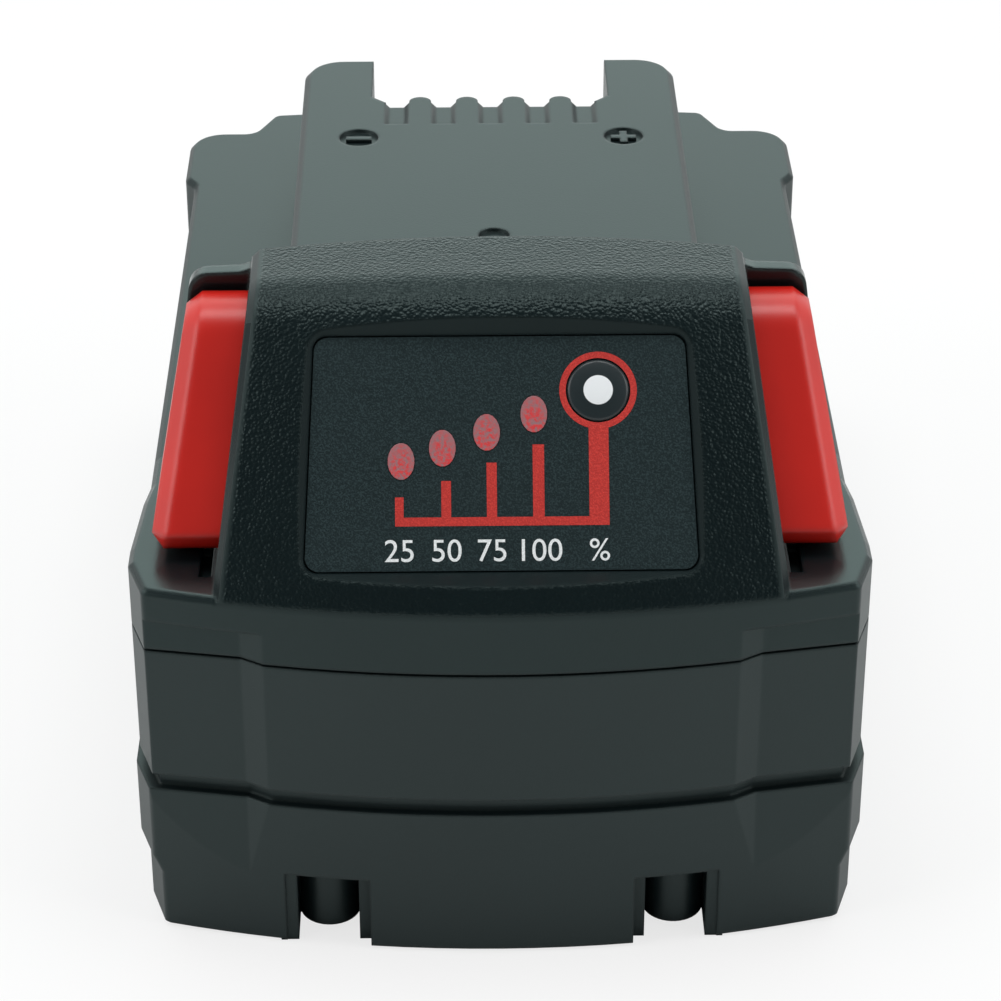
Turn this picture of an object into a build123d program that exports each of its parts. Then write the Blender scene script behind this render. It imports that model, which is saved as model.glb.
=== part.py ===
from build123d import *
import math
import os

# Power tool battery pack: a slide-on pack with a charge gauge and two release buttons.
# X is to the right, Y runs from the gauge face to the terminals and Z is up.
# The origin is under the middle of the base. Lengths are millimetres, angles degrees.
# Names that end in _from_front are distances behind the foremost point of the case,
# and those that end in _from_rear are distances ahead of its rearmost point.

# The whole pack
pack_length = 128.0
pack_height = 72.6
shelf_z = 44.7
parting_z = 36.8
parting_gap = 0.3
overrun = 2.0

# Outline of the case, seen from above
cell_length = 65.0
case_side_room = 7.5
case_half_width = cell_length / 2 + case_side_room
front_draw_in = 0.7
waist_draw_in = 1.25
rear_spread = 0.1
front_half_width = case_half_width - front_draw_in
waist_half_width = case_half_width - waist_draw_in
rear_half_width = case_half_width + rear_spread
front_arc_radius = 135.0
rear_arc_radius = 270.0
front_side_end_from_front = 14.0
front_taper_end_from_front = 23.8
waist_start_from_front = 27.4
waist_end_from_rear = 23.8
rear_side_start_from_rear = 21.7
rear_flat_from_rear = 7.5
rear_flat_width = 8.2
rear_step_width = 3.3
front_corner_radius = 0.8
front_corner_inset = 1.8
front_corner_end_from_front = 11.0
rear_corner_radius = 4.5
rear_step_radius = 1.8
waist_blend_radius = 1.5
case_wall = 2.5

# Front panels, let into both sides of the front
panel_width = 14.2
panel_step_width = 2.5
panel_outer_inset = 0.4
panel_outer_half_width = case_half_width - panel_outer_inset
panel_inner_half_width = panel_outer_half_width - panel_width
panel_step_half_width = panel_inner_half_width + panel_step_width
panel_depth = 1.0
panel_top_z = 40.8
panel_fade_height = 9.5

# Lower case
groove_bottom_z = 18.7
groove_top_z = 20.7
groove_depth = 1.0
flange_proud = 0.5
base_set_in = 0.9
flange_half_width = case_half_width + flange_proud
base_half_width = flange_half_width - base_set_in
flange_bottom_z = 9.4
base_step_z = 7.3
base_edge_chamfer = 0.5
floor_thickness = 2.2
lip_height = 2.2
lip_thickness = 1.1
lip_clearance = 0.15
case_rib_thickness = 1.4
case_rib_top_z = 31.2

# Screw pockets in the front and rear of the base, with their bosses
boss_x = 19.3
boss_from_front = 7.5
boss_radius = 3.4
boss_bottom_z = 0.8
boss_top_z = 21.2
boss_wall = 2.0
pocket_top_z = 9.4
pocket_outer_width = 9.4
pocket_outer_depth = 1.2
counterbore_radius = 2.75
counterbore_top_z = 7.2

# Case screws
screw_shank_radius = 1.5
screw_shank_sides = 12
screw_length = 22.0
screw_head_radius = 2.6
screw_head_height = 2.1
screw_socket_radius = 1.3
screw_socket_depth = 1.2
screw_clearance = 0.2
thread_clearance = 0.03
hole_sides = 8
pillar_width = 5.6
pillar_web = 1.8
front_pillar_top_z = 45.0

# Head of the upper case
head_shoulder_width = 9.5
head_half_width = case_half_width - head_shoulder_width
head_side_lean = 8.4
head_front_lean = 36.0
head_face_radius = 150.0
head_crown_length = 12.23
head_crown_radius = 241.0
head_brow_radius = 8.0
head_edge_chamfer = 0.8
head_side_wall = 2.4
head_face_wall = 4.4
head_top_wall = 2.6
head_back_wall = 2.4
shelf_edge_chamfer = 0.6
shelf_slot_gap = 0.4
shelf_slot_width = 1.3
shelf_slot_inner_x = head_half_width + shelf_slot_gap
shelf_slot_outer_x = shelf_slot_inner_x + shelf_slot_width
shelf_slot_start_from_front = 7.9
shelf_slot_end_from_front = 14.0
shelf_slot_depth = 1.2

# Fences behind the release buttons
fence_thickness = 1.8
fence_top_drop = 3.2
fence_outer_drop = 0.2
fence_foot_inset = 3.0
fence_lean_in = 3.6
fence_top_z = pack_height - fence_top_drop
fence_outer_top_z = fence_top_z - fence_outer_drop
fence_foot_half_width = case_half_width - fence_foot_inset
fence_top_half_width = fence_foot_half_width - fence_lean_in
fence_corner_radius = 2.2
fence_root_radius = 2.0
fence_root_share = 2.0

# Rail that the tool slides onto
rail_top_z = 57.6
rail_half_width = 24.1
rail_lip_thickness = 3.8
rail_edge_chamfer = 0.8
stem_half_width = 19.6
stem_wall = 2.2
rail_roof = 2.4
rail_end_from_rear = 26.8
prong_length = 14.0
prong_inner_half_width = 15.2
prong_corner_radius = 5.0
bay_corner_chamfer = 1.8
centre_mark_radius = 1.85
centre_mark_before_end = 38.3
mark_radius = 2.45
mark_depth = 0.5
mark_x = 16.65
mark_before_end = 10.6

# Terminal slots in the end of the rail
terminal_count = 5
terminal_pitch = 6.0
slot_width = 3.2
slot_floor_width = 1.8
slot_depth = 0.7
slot_length = 6.5
slot_rib_length = 1.7
blade_slot_width = 1.7
blade_slot_bottom_z = 46.8
blade_slot_top_z = 54.2

# Charge gauge: a label sunk into the face, with four light windows and a button
label_bottom_width = 41.5
label_top_width = 39.1
label_top_margin = 4.97
label_corner_radius = 1.5
label_start = 4.72
label_depth = 1.43
label_thickness = 0.5
label_clearance = 0.15
recess_slope = 45.0
window_width = 2.83
window_height = 3.9
window_sides = 20
window_clearance = 0.05
window_proud = 0.08
window_first_x = -10.5
window_pitch_x = 4.36
window_pitch_growth = 0.32
window_first_share = 0.468
window_rise_share = 0.0552
window_growth_share = 0.0109
window_count = 4
button_x = 10.35
button_height_share = 0.766
button_radius = 3.25
button_clearance = 0.15
button_proud = 0.35
button_bevel_height = 0.3
button_bevel_width = 1.4
button_flange_radius = 3.9
button_flange_sides = 12
button_flange_thickness = 0.8
button_flange_gap = 0.1
button_stem_width = 2.2
button_travel = 0.5
gauge_board_width = 32.0
gauge_board_foot = 7.28
gauge_board_top_margin = 2.92
gauge_board_thickness = 1.0
gauge_board_depth = 6.4
gauge_post_width = 2.6
gauge_post_inset = 2.2
led_size = 1.8
led_height = 0.8
led_gap = 0.1
switch_size = 4.0
switch_height = 1.0
switch_plunger_width = 1.6
switch_plunger_height = 0.3
switch_gap = 0.1

# Release buttons
release_travel = 3.6
release_gap = 0.3
release_setback = 7.2
release_bottom_z = 45.7
release_top_drop = 5.0
release_top_z = pack_height - release_top_drop
release_back_gap = 0.3
release_side_inset = 2.6
release_side_x = case_half_width - release_side_inset
release_side_z = 47.2
release_side_lean = 10.6
release_brow_radius = 5.0
release_foot_chamfer = 2.5
release_edge_chamfer = 1.5
release_depth = 8.5
release_inner_x = head_half_width - release_depth
release_flange_thickness = 2.3
release_flange_height = 0.9
release_shell = 2.2

# Latches pulled in by the release buttons
latch_thickness = 1.2
latch_bottom_z = 46.2
latch_top_z = 52.2
latch_mount_length = 4.5
latch_peg_width = 2.0
latch_peg_proud = 0.5
latch_peg_clearance = 0.1
latch_arm_x = 15.6
latch_back_gap = 1.4
latch_tail_length = 2.0
hook_behind_head = 5.5
hook_length = 6.0
hook_sunk = 0.6
hook_ramp_share = 0.55
latch_window_clearance = 0.4

# Latch springs
spring_wire_radius = 0.3
spring_radius = 2.3
spring_turns = 5
spring_steps = 8
spring_wire_sides = 4
spring_before_back = 6.9
spring_height_share = 0.567
spring_z = release_bottom_z + (release_top_z - release_bottom_z) * spring_height_share
spring_end_gap = 0.1
spring_peg_radius = 1.7
spring_peg_sides = 6
spring_peg_length = 2.5
spring_wall_x = 8.0
spring_wall_thickness = 1.8
spring_wall_half_depth = 2.8
spring_wall_drop = 5.0

# Cells, in two layers of as many as the pack's length holds, lying across it
cell_layers = 2
cell_radius = 9.1
cell_pitch = 18.8
cell_end_room = 33.0
cell_rows = int((pack_length - cell_end_room) / cell_pitch)
cell_sides = 16
cell_nub_radius = 4.0
cell_nub_sides = 8
cell_nub_height = 0.5

# Cell holders
holder_gap = 0.3
holder_clearance = 0.1
cup_sides = 8
holder_end_wall = 1.4
holder_outer_depth = 1.8
holder_window_length = 15.0
holder_window_width = 7.0
holder_window_x = 17.0
holder_top_gap = 0.4

# Nickel strips and insulators
strip_thickness = 0.2
strip_half_width = 4.0
strip_gap = 1.5
insulator_thickness = 0.4
insulator_margin = 0.6
lead_width = 5.5
lead_inner_x = 3.2
lead_gap = 0.1

# Main board, terminal block and what is on the board
main_board_thickness = 1.6
main_board_z = 43.4
main_board_behind_head = 4.0
main_board_end_gap = 0.5
main_board_side_gap = 0.6
board_post_width = 4.4
board_pin_width = 1.8
board_pin_clearance = 0.15
board_pin_proud = 0.6
board_post_x = 12.0
board_post_inset = 5.0
board_post_rear_inset = 20.5
block_length = 15.0
block_half_width = 14.9
block_top_z = 54.4
block_floor = 1.2
block_slot_width = 3.0
block_rear_gap = 0.2
terminal_leaf = 0.5
terminal_gap = 2.4
terminal_waist = 1.6
terminal_mouth = 2.2
terminal_mouth_length = 2.5
terminal_waist_length = 8.0
terminal_length = 12.0
terminal_pin_width = 1.0
terminal_height = 6.6
mosfet_count = 4
mosfet_width = 6.4
mosfet_length = 9.0
mosfet_height = 2.3
mosfet_pitch = 7.4
mosfet_inset = 25.5
connector_width = 10.0
connector_length = 4.4
connector_height = 3.0
connector_inset = 3.5
ribbon_width = 8.0
ribbon_thickness = 0.4
ribbon_bend_radius = 1.5
ribbon_overlap = 2.5

# Directions of the leaning face: up its slope, and out of it
lean = math.radians(head_front_lean)
slope_up = Vector(0, math.sin(lean), math.cos(lean))
slope_out = Vector(0, -math.cos(lean), math.sin(lean))
half_length = pack_length / 2
slope_middle = (pack_height - shelf_z) / math.cos(lean) / 2
head_face_bow = head_face_radius - math.sqrt(head_face_radius**2 - slope_middle**2)


def from_front(distance):
    return distance - half_length


def from_rear(distance):
    return half_length - distance


def arc_depth(radius, x):
    # How far an arc has fallen back at a distance from its middle.
    return radius - math.sqrt(radius**2 - x**2)


def box(x_range, y_range, z_range):
    # A block between two limits along each axis.
    low = [min(pair) for pair in (x_range, y_range, z_range)]
    high = [max(pair) for pair in (x_range, y_range, z_range)]
    corner = Align.MIN
    size = [b - a for a, b in zip(low, high)]
    return Pos(*low) * Box(*size, align=(corner, corner, corner))


def post(x, y, z_range, radius):
    # An upright cylinder between two heights.
    low, high = sorted(z_range)
    seat = (Align.CENTER, Align.CENTER, Align.MIN)
    return Pos(x, y, low) * Cylinder(radius, high - low, align=seat)


def flat_sided_hole(x, y, z_range, radius):
    # A hole that touches a round of the given radius with its flats.
    low, high = sorted(z_range)
    flats = RegularPolygon(radius, hole_sides, major_radius=False)
    return Pos(x, y, low) * extrude(flats, high - low)


def square_post(x, y, z_range, width):
    half = width / 2
    return box((x - half, x + half), (y - half, y + half), z_range)


def both_sides(shape):
    return shape + mirror(shape, about=Plane.YZ)


def on_face(out):
    # The plane of the leaning face, moved out by a distance. Its X is the pack's X.
    # Its origin is on the lowest line of the face, and its Y runs up the slope.
    base = Vector(0, from_front(0), shelf_z)
    return Plane(origin=base + slope_out * out, x_dir=(1, 0, 0), z_dir=slope_out)


def write(name, shape, label=None):
    shape.label = label or name
    export_step(shape, f"parts/{name}.step")


# Case outline

def round_corners(plan, corners, radius):
    # Rounds the corners nearest to the given points, on both sides.
    picked = []
    for x, y in corners:
        for side in (-1, 1):
            picked.append(plan.vertices().sort_by_distance((side * x, y))[0])
    return fillet(picked, radius)


def case_plan(middle, front, waist, rear, rounded=True):
    # Outline of the case for four half widths: at the middle of the front sides,
    # where they start to draw in, at the waist and at the rear.
    beyond = half_length + case_half_width
    step_foot = rear - rear_flat_width
    step_top = step_foot - rear_step_width
    corner = middle - front_corner_inset
    corner_y = from_front(arc_depth(front_arc_radius, corner))
    waist_corners = [
        (waist, from_front(waist_start_from_front)),
        (waist, from_rear(waist_end_from_rear)),
        (rear, from_rear(rear_side_start_from_rear)),
    ]
    rear_corner = (rear, from_rear(rear_flat_from_rear))
    step_corner = (step_foot, from_rear(rear_flat_from_rear))
    sides = [
        (corner, -beyond),
        (corner, corner_y),
        (middle, from_front(front_corner_end_from_front)),
        (middle, from_front(front_side_end_from_front)),
        (front, from_front(front_taper_end_from_front)),
        *waist_corners,
        rear_corner,
        step_corner,
        (step_top, half_length),
        (step_top, beyond),
    ]
    other_side = [(-x, y) for x, y in reversed(sides)]
    plan = make_face(Polyline(*sides, *other_side, close=True))
    plan = plan & Pos(0, front_arc_radius - half_length) * Circle(front_arc_radius)
    plan = plan & Pos(0, half_length - rear_arc_radius) * Circle(rear_arc_radius)
    if not rounded:
        return plan
    step_y = half_length - arc_depth(rear_arc_radius, step_top)
    plan = round_corners(plan, [(corner, corner_y)], front_corner_radius)
    plan = round_corners(plan, [rear_corner], rear_corner_radius)
    plan = round_corners(plan, [step_corner, (step_top, step_y)], rear_step_radius)
    if rear - waist > lip_clearance:
        plan = round_corners(plan, waist_corners, waist_blend_radius)
    return plan


def panel_plan():
    # What is cut away in front of one panel, seen from above.
    inner_y = from_front(arc_depth(front_arc_radius, panel_inner_half_width))
    step_y = from_front(arc_depth(front_arc_radius, panel_step_half_width) + panel_depth)
    outer_y = from_front(arc_depth(front_arc_radius, panel_outer_half_width))
    ahead = from_front(-overrun)
    return make_face(Polyline(
        (panel_inner_half_width, inner_y),
        (panel_step_half_width, step_y),
        (panel_outer_half_width, outer_y),
        (flange_half_width + overrun, outer_y),
        (flange_half_width + overrun, ahead),
        (panel_inner_half_width, ahead),
        close=True,
    ))


upper_plan = case_plan(case_half_width, front_half_width, waist_half_width, rear_half_width)
sharp_plan = case_plan(case_half_width, front_half_width, waist_half_width, rear_half_width, rounded=False)
flange_plan = case_plan(flange_half_width, flange_half_width, flange_half_width, flange_half_width)
base_plan = case_plan(base_half_width, base_half_width, base_half_width, base_half_width)


def slab(plan, bottom, top):
    return Pos(0, 0, bottom) * extrude(plan, top - bottom)


def inner_plan(inset):
    # The outline of the inside, with plain corners. It steps back behind the panels.
    return offset(sharp_plan - both_sides(panel_plan()), -inset, kind=Kind.INTERSECTION)


def panel_cut():
    # Upright above the groove, and fading out forwards below it.
    upright = slab(panel_plan(), groove_bottom_z, panel_top_z)
    fade = Vector(0, -panel_depth, -panel_fade_height)
    start = Pos(0, 0, groove_bottom_z) * panel_plan()
    fading = extrude(start, amount=fade.length, dir=fade.normalized())
    return both_sides(upright + fading)


# Lower case

def boss_places():
    y = half_length - boss_from_front
    return [(side * boss_x, end * y) for side in (-1, 1) for end in (-1, 1)]


def pocket_cut(x, y):
    # One pocket, open at the bottom and at its end of the case.
    end = math.copysign(1, y)
    surface = y + end * boss_from_front
    arc = front_arc_radius if end < 0 else rear_arc_radius
    skin = surface - end * arc_depth(arc, boss_x)
    out = surface + end * overrun
    below = -overrun
    half_outer = pocket_outer_width / 2
    height = (below, pocket_top_z)
    wide = box((x - half_outer, x + half_outer), (skin - end * pocket_outer_depth, out), height)
    deep = box((x - boss_radius, x + boss_radius), (y, out), height)
    return wide + deep


def build_lower_case():
    middle_band = slab(upper_plan, groove_bottom_z, parting_z)
    # The groove runs all round and steps back with the panels
    grooved_plan = upper_plan - both_sides(panel_plan())
    ring = slab(upper_plan, groove_bottom_z, groove_top_z)
    ring -= slab(offset(grooved_plan, -groove_depth, kind=Kind.INTERSECTION), groove_bottom_z, groove_top_z)
    base_top = Pos(0, 0, base_step_z) * base_plan
    flange_start = Pos(0, 0, flange_bottom_z) * flange_plan
    lower_band = slab(base_plan, 0, base_step_z)
    lower_band = chamfer(lower_band.faces().sort_by(Axis.Z)[0].edges(), base_edge_chamfer)
    lower_band += loft([base_top.face(), flange_start.face()], ruled=True)
    lower_band += slab(flange_plan, flange_bottom_z, groove_bottom_z)
    cavity = slab(inner_plan(case_wall), floor_thickness, parting_z + lip_height + overrun)
    case = middle_band + lower_band - ring - panel_cut() - cavity
    # Lip that locates the upper case
    lip_outer = inner_plan(case_wall - lip_thickness)
    lip = slab(lip_outer, parting_z - lip_thickness, parting_z + lip_height) - cavity
    case += lip
    # Ribs that hold the cell holders sideways
    rib_inner = holder_outer_x() + holder_gap
    for row in cell_row_places():
        for side in (-1, 1):
            y_range = (row - case_rib_thickness / 2, row + case_rib_thickness / 2)
            x_range = (side * rib_inner, side * waist_half_width - side * case_wall / 2)
            case += box(x_range, y_range, (floor_thickness / 2, case_rib_top_z))
    # Screw bosses and their pockets
    for x, y in boss_places():
        end = math.copysign(1, y)
        half = boss_radius + boss_wall
        outer = y + end * (boss_from_front - case_wall)
        housing = box((x - half, x + half), (y - end * boss_radius, outer), (0, pocket_top_z + boss_wall))
        case += housing & slab(upper_plan, 0, parting_z)
        case -= pocket_cut(x, y)
        case += post(x, y, (boss_bottom_z, pocket_top_z + boss_wall / 2), boss_radius)
        case += square_post(x, y, (pocket_top_z + boss_wall / 2, boss_top_z), pillar_width)
        case -= post(x, y, (-overrun, counterbore_top_z), counterbore_radius)
        case -= flat_sided_hole(x, y, (0, boss_top_z + overrun), screw_shank_radius + screw_clearance)
    return case


# Cells and holders

def cell_row_places():
    first = -cell_pitch * (cell_rows - 1) / 2
    return [first + row * cell_pitch for row in range(cell_rows)]


def holder_bottom_z():
    return floor_thickness


def cell_layer_heights():
    first = holder_bottom_z() + holder_end_wall / 2 + cell_radius + holder_clearance
    return [first + layer * cell_pitch for layer in range(cell_layers)]


def holder_top_z():
    return shelf_z - case_wall - holder_top_gap


def holder_outer_x():
    return cell_length / 2 + holder_outer_depth


def cell_places():
    return [(y, z) for y in cell_row_places() for z in cell_layer_heights()]


def build_cell(y, z, facing):
    # Steel can with a raised positive end. Ten of them repeat, so their round is in flats.
    can = extrude(RegularPolygon(cell_radius, cell_sides, major_radius=False), cell_length - cell_nub_height)
    can += extrude(RegularPolygon(cell_nub_radius, cell_nub_sides), cell_length)
    return Pos(-facing * cell_length / 2, y, z) * Rot(0, 90 * facing, 0) * can


def build_holder(side):
    rows = cell_row_places()
    layers = cell_layer_heights()
    reach = cell_radius + holder_clearance + holder_end_wall
    y_range = (rows[0] - reach, rows[-1] + reach)
    inner = side * holder_gap / 2
    cell_end = side * cell_length / 2
    outer = side * holder_outer_x()
    block = box((inner, outer), y_range, (holder_bottom_z(), holder_top_z()))
    block = chamfer(block.edges().filter_by(Axis.X), holder_end_wall)
    # Cups with flat sides, which grip each cell along lines
    cup_radius = cell_radius + holder_clearance
    flats = RegularPolygon(cup_radius, cup_sides, major_radius=False, rotation=180 / cup_sides)
    cup = extrude(Plane.YZ * flats, abs(cell_end), dir=(side, 0, 0))
    for y, z in cell_places():
        block -= Pos(0, y, z) * cup
    # Outer pocket for the strips and the insulator
    inset = holder_end_wall
    pocket_y = (y_range[0] + inset, y_range[1] - inset)
    pocket_z = (holder_bottom_z() + inset, holder_top_z() - inset)
    block -= box((cell_end, outer + side * overrun), pocket_y, pocket_z)
    # Cooling windows above and below each cell
    for y in rows:
        for low, high in ((0, layers[0]), (layers[-1], shelf_z)):
            half_x, half_y = holder_window_length / 2, holder_window_width / 2
            middle = side * holder_window_x
            block -= box((middle - half_x, middle + half_x), (y - half_y, y + half_y), (low, high))
    # Posts and pins for the main board
    for y in board_post_rows():
        x = side * board_post_x
        block += square_post(x, y, (holder_top_z() - holder_end_wall / 4, main_board_z), board_post_width)
        pin_top = main_board_z + main_board_thickness + board_pin_proud
        block += square_post(x, y, (main_board_z, pin_top), board_pin_width)
    # Notch that lets the lead out of the pocket
    lead_row = rows[0] if side > 0 else rows[-1]
    half = lead_width / 2 + holder_clearance
    block -= box((cell_end, outer), (lead_row - half, lead_row + half), (pocket_z[1] - overrun, shelf_z))
    return block


def strip_groups():
    # Cell rows joined on each side: pairs in series from the front to the rear. On the
    # right the first row is by itself, for the lead.
    rows = list(range(cell_rows))
    left = [rows[first:first + 2] for first in range(0, cell_rows, 2)]
    right = [rows[:1]] + [rows[first:first + 2] for first in range(1, cell_rows, 2)]
    return {-1: left, 1: right}


def build_strip(side, rows):
    places = cell_row_places()
    layers = cell_layer_heights()
    near = cell_radius - strip_gap
    y_range = (places[rows[0]] - near, places[rows[-1]] + near)
    inner = side * cell_length / 2
    x_range = (inner, inner + side * strip_thickness)
    strip = box((x_range), y_range, (layers[0] - near, layers[-1] + near))
    for first, second in zip(rows, rows[1:]):
        middle = (places[first] + places[second]) / 2
        hole = cell_pitch / 2 - strip_half_width
        centre_z = (layers[0] + layers[-1]) / 2
        strip -= box(x_range, (middle - hole, middle + hole), (centre_z - hole, centre_z + hole))
    return strip


def build_insulator(side):
    rows = cell_row_places()
    reach = cell_radius + holder_clearance - insulator_margin
    inner = side * (cell_length / 2 + strip_thickness)
    x_range = (inner, inner + side * insulator_thickness)
    inset = holder_end_wall + insulator_margin
    z_range = (holder_bottom_z() + inset, holder_top_z() - inset)
    return box(x_range, (rows[0] - reach, rows[-1] + reach), z_range)


# Leaning head

def face_ball(inset):
    # Ball whose skin is the face, bowed both ways, or a surface set in behind it.
    # It lies on its side, so its poles and its seam stay clear of the face.
    centre = on_face(head_face_bow - head_face_radius) * Pos(0, slope_middle)
    return centre * Rot(0, 90, 0) * Sphere(head_face_radius - inset)


def head_wedge(side_wall, top_wall, back):
    # Sides that lean in, a crowned top and an upright back, all set in by the walls.
    rise = pack_height - shelf_z + overrun
    drop = shelf_z - parting_z + overrun
    lean_in = math.tan(math.radians(head_side_lean))
    foot = head_half_width - side_wall
    outline = make_face(Polyline(
        (-foot - drop * lean_in, shelf_z - drop),
        (foot + drop * lean_in, shelf_z - drop),
        (foot - rise * lean_in, shelf_z + rise),
        (rise * lean_in - foot, shelf_z + rise),
        close=True,
    ))
    wedge = extrude(Plane.XZ * outline, half_length * 2, both=True)
    wedge &= box((-case_half_width, case_half_width), (-pack_length, back), (0, pack_height * 2))
    crown_z = pack_height - top_wall - head_crown_radius
    crown = Pos(0, 0, crown_z) * Rot(90, 0, 0) * Cylinder(head_crown_radius, pack_length * 2)
    return wedge & crown


def upper_bottom_z():
    return parting_z + parting_gap


def head_back():
    return from_front((pack_height - shelf_z) * math.tan(lean) + head_crown_length)


def build_head():
    head = face_ball(0) & head_wedge(0, 0, head_back())
    head &= slab(upper_plan, shelf_z - case_wall, pack_height + overrun)
    brow_y = from_front((pack_height - shelf_z) * math.tan(lean))
    brow = head.edges().sort_by_distance((0, brow_y, pack_height))[0]
    head = fillet(brow, head_brow_radius)
    for end in (0, -1):
        sideways = head.faces().filter_by(lambda face: abs(face.normal_at().X) > abs(face.normal_at().Y))
        side_face = sideways.sort_by(Axis.X)[end]
        rim = [
            edge for edge in side_face.edges()
            if edge.center().Z > shelf_z + head_edge_chamfer and edge.center().Y < head_back() - overrun
        ]
        head = chamfer(rim, head_edge_chamfer)
    return head


def build_fence(side):
    # Upright plate behind a release button, swept up into the corner of the head.
    lean_in = math.tan(math.radians(head_side_lean))
    corner_z = pack_height - arc_depth(head_crown_radius, head_half_width)
    head_x = head_half_width - (corner_z - shelf_z) * lean_in
    root_x = head_x + corner_z - fence_top_z
    inner = head_x - head_side_wall
    foot_z = shelf_z - case_wall / 2
    plate = make_face(Polyline(
        (side * inner, foot_z),
        (side * inner, corner_z - head_edge_chamfer),
        (side * head_x, corner_z - head_edge_chamfer),
        (side * root_x, fence_top_z),
        (side * fence_top_half_width, fence_outer_top_z),
        (side * fence_foot_half_width, foot_z),
        close=True,
    ))
    outer = plate.vertices().sort_by_distance((side * fence_top_half_width, fence_outer_top_z))[0]
    plate = fillet(outer, fence_corner_radius)
    root = plate.vertices().sort_by_distance((side * root_x, fence_top_z))[0]
    # The round keeps within the slope that leads to it
    plate = fillet(root, min(fence_root_radius, (root_x - head_x) * fence_root_share))
    return Pos(0, head_back(), 0) * extrude(Plane.XZ * plate, fence_thickness)


# Rail

def rail_end():
    return from_rear(rail_end_from_rear)


def terminal_places():
    first = -terminal_pitch * (terminal_count - 1) / 2
    return [first + index * terminal_pitch for index in range(terminal_count)]


def rail_plan():
    # Plate with two prongs at its end and rounded ribs between the terminal slots.
    start = head_back() - head_back_wall / 2
    end = rail_end()
    tip = end + prong_length
    right = [
        (rail_half_width, start),
        (rail_half_width, tip),
        (prong_inner_half_width, tip),
        (prong_inner_half_width, end + bay_corner_chamfer),
        (prong_inner_half_width - bay_corner_chamfer, end),
    ]
    left = [(-x, y) for x, y in reversed(right)]
    plan = make_face(Polyline(*right, *left, close=True))
    plan = round_corners(plan, [(rail_half_width, tip)], prong_corner_radius)
    rib_width = terminal_pitch - slot_width
    places = terminal_places()
    for first, second in zip(places, places[1:]):
        x = (first + second) / 2
        straight = slot_rib_length - rib_width / 2
        plan += Pos(x, end + straight / 2) * Rectangle(rib_width, straight)
        plan += Pos(x, end + straight) * Circle(rib_width / 2)
    return plan


def slot_cut(x):
    # Bevelled groove in the top of the rail, leading to one terminal.
    top = rail_top_z + overrun
    spread = (slot_width - slot_floor_width) / 2
    beyond = slot_width / 2 + spread * overrun / slot_depth
    groove = make_face(Polyline(
        (x - slot_floor_width / 2, rail_top_z - slot_depth),
        (x + slot_floor_width / 2, rail_top_z - slot_depth),
        (x + beyond, top),
        (x - beyond, top),
        close=True,
    ))
    rear = rail_end()
    groove = Pos(0, rear, 0) * extrude(Plane.XZ * groove, slot_length)
    half = blade_slot_width / 2
    height = (blade_slot_bottom_z, blade_slot_top_z)
    blade = box((x - half, x + half), (rear - stem_wall * 2, rear + overrun), height)
    return groove + blade


def build_rail():
    plan = rail_plan()
    lip_z = rail_top_z - rail_lip_thickness
    plate = slab(plan, lip_z, rail_top_z)
    top_edges = plate.faces().sort_by(Axis.Z)[-1].edges().filter_by(Axis.Y)
    plate = chamfer([top_edges.sort_by(Axis.X)[0], top_edges.sort_by(Axis.X)[-1]], rail_edge_chamfer)
    stem_plan = plan & Rectangle(stem_half_width * 2, pack_length * 2)
    return plate + slab(stem_plan, shelf_z - case_wall / 2, lip_z)


# Gauge

def label_height():
    return slope_middle * 2 - label_start - label_top_margin


def label_outline(grow):
    # Keystone shape of the label in the plane of the face, grown by a clearance.
    bottom, top = label_start - grow, label_start + label_height() + grow
    half_bottom, half_top = label_bottom_width / 2 + grow, label_top_width / 2 + grow
    outline = make_face(Polyline(
        (-half_bottom, bottom), (half_bottom, bottom), (half_top, top), (-half_top, top), close=True,
    ))
    return fillet(outline.vertices(), label_corner_radius)


def window_places():
    places = []
    for index in range(window_count):
        grown = index * (index - 1) / 2
        x = window_first_x + index * window_pitch_x + grown * window_pitch_growth
        height_share = window_first_share + index * window_rise_share + grown * window_growth_share
        places.append((x, label_start + height_share * label_height()))
    return places


def button_place():
    return (button_x, label_start + button_height_share * label_height())


def face_solid(sketch, low, high):
    # Extrudes a sketch square to the leaning face, between two levels out of it.
    return extrude(on_face(low) * sketch, high - low)


def window_ovals(clearance, low, high):
    half_width, half_height = window_width / 2 + clearance, window_height / 2 + clearance
    corners = []
    for corner in range(window_sides):
        angle = math.tau * (corner + 1 / 2) / window_sides
        corners.append((half_width * math.cos(angle), half_height * math.sin(angle)))
    oval = make_face(Polyline(*corners, close=True))
    return [face_solid(Pos(*place) * oval, low, high) for place in window_places()]


def window_shafts(clearance, low, high):
    # The square shafts through the case that carry the light up to the ovals.
    shaft = Rectangle(window_width + clearance * 2, window_height + clearance * 2)
    return [face_solid(Pos(*place) * shaft, low, high) for place in window_places()]


def label_levels():
    return -label_depth - label_thickness, -label_depth


def build_label():
    low, high = label_levels()
    label = face_solid(label_outline(0), low, high)
    for hole in window_ovals(window_clearance, low - overrun, high + overrun):
        label -= hole
    hole = Pos(*button_place()) * Circle(button_radius + button_clearance)
    return label - face_solid(hole, low - overrun, high + overrun)


def recess_cut():
    # Pocket for the label with sloping sides, the window holes and the button hole.
    low, high = label_levels()
    cut = face_solid(label_outline(label_clearance), low, high)
    depth = label_depth + head_face_bow + overrun
    cut += extrude(on_face(high) * label_outline(label_clearance), depth, taper=-recess_slope)
    inside = -head_face_wall * 2
    for hole in window_shafts(window_clearance, inside, low):
        cut += hole
    hole = Pos(*button_place()) * Circle(button_flange_radius + button_clearance)
    return cut + face_solid(hole, inside, low)


def gauge_board_levels():
    # Lower and upper edge of the gauge board, up the slope.
    return label_start + gauge_board_foot, label_start + label_height() - gauge_board_top_margin


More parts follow.
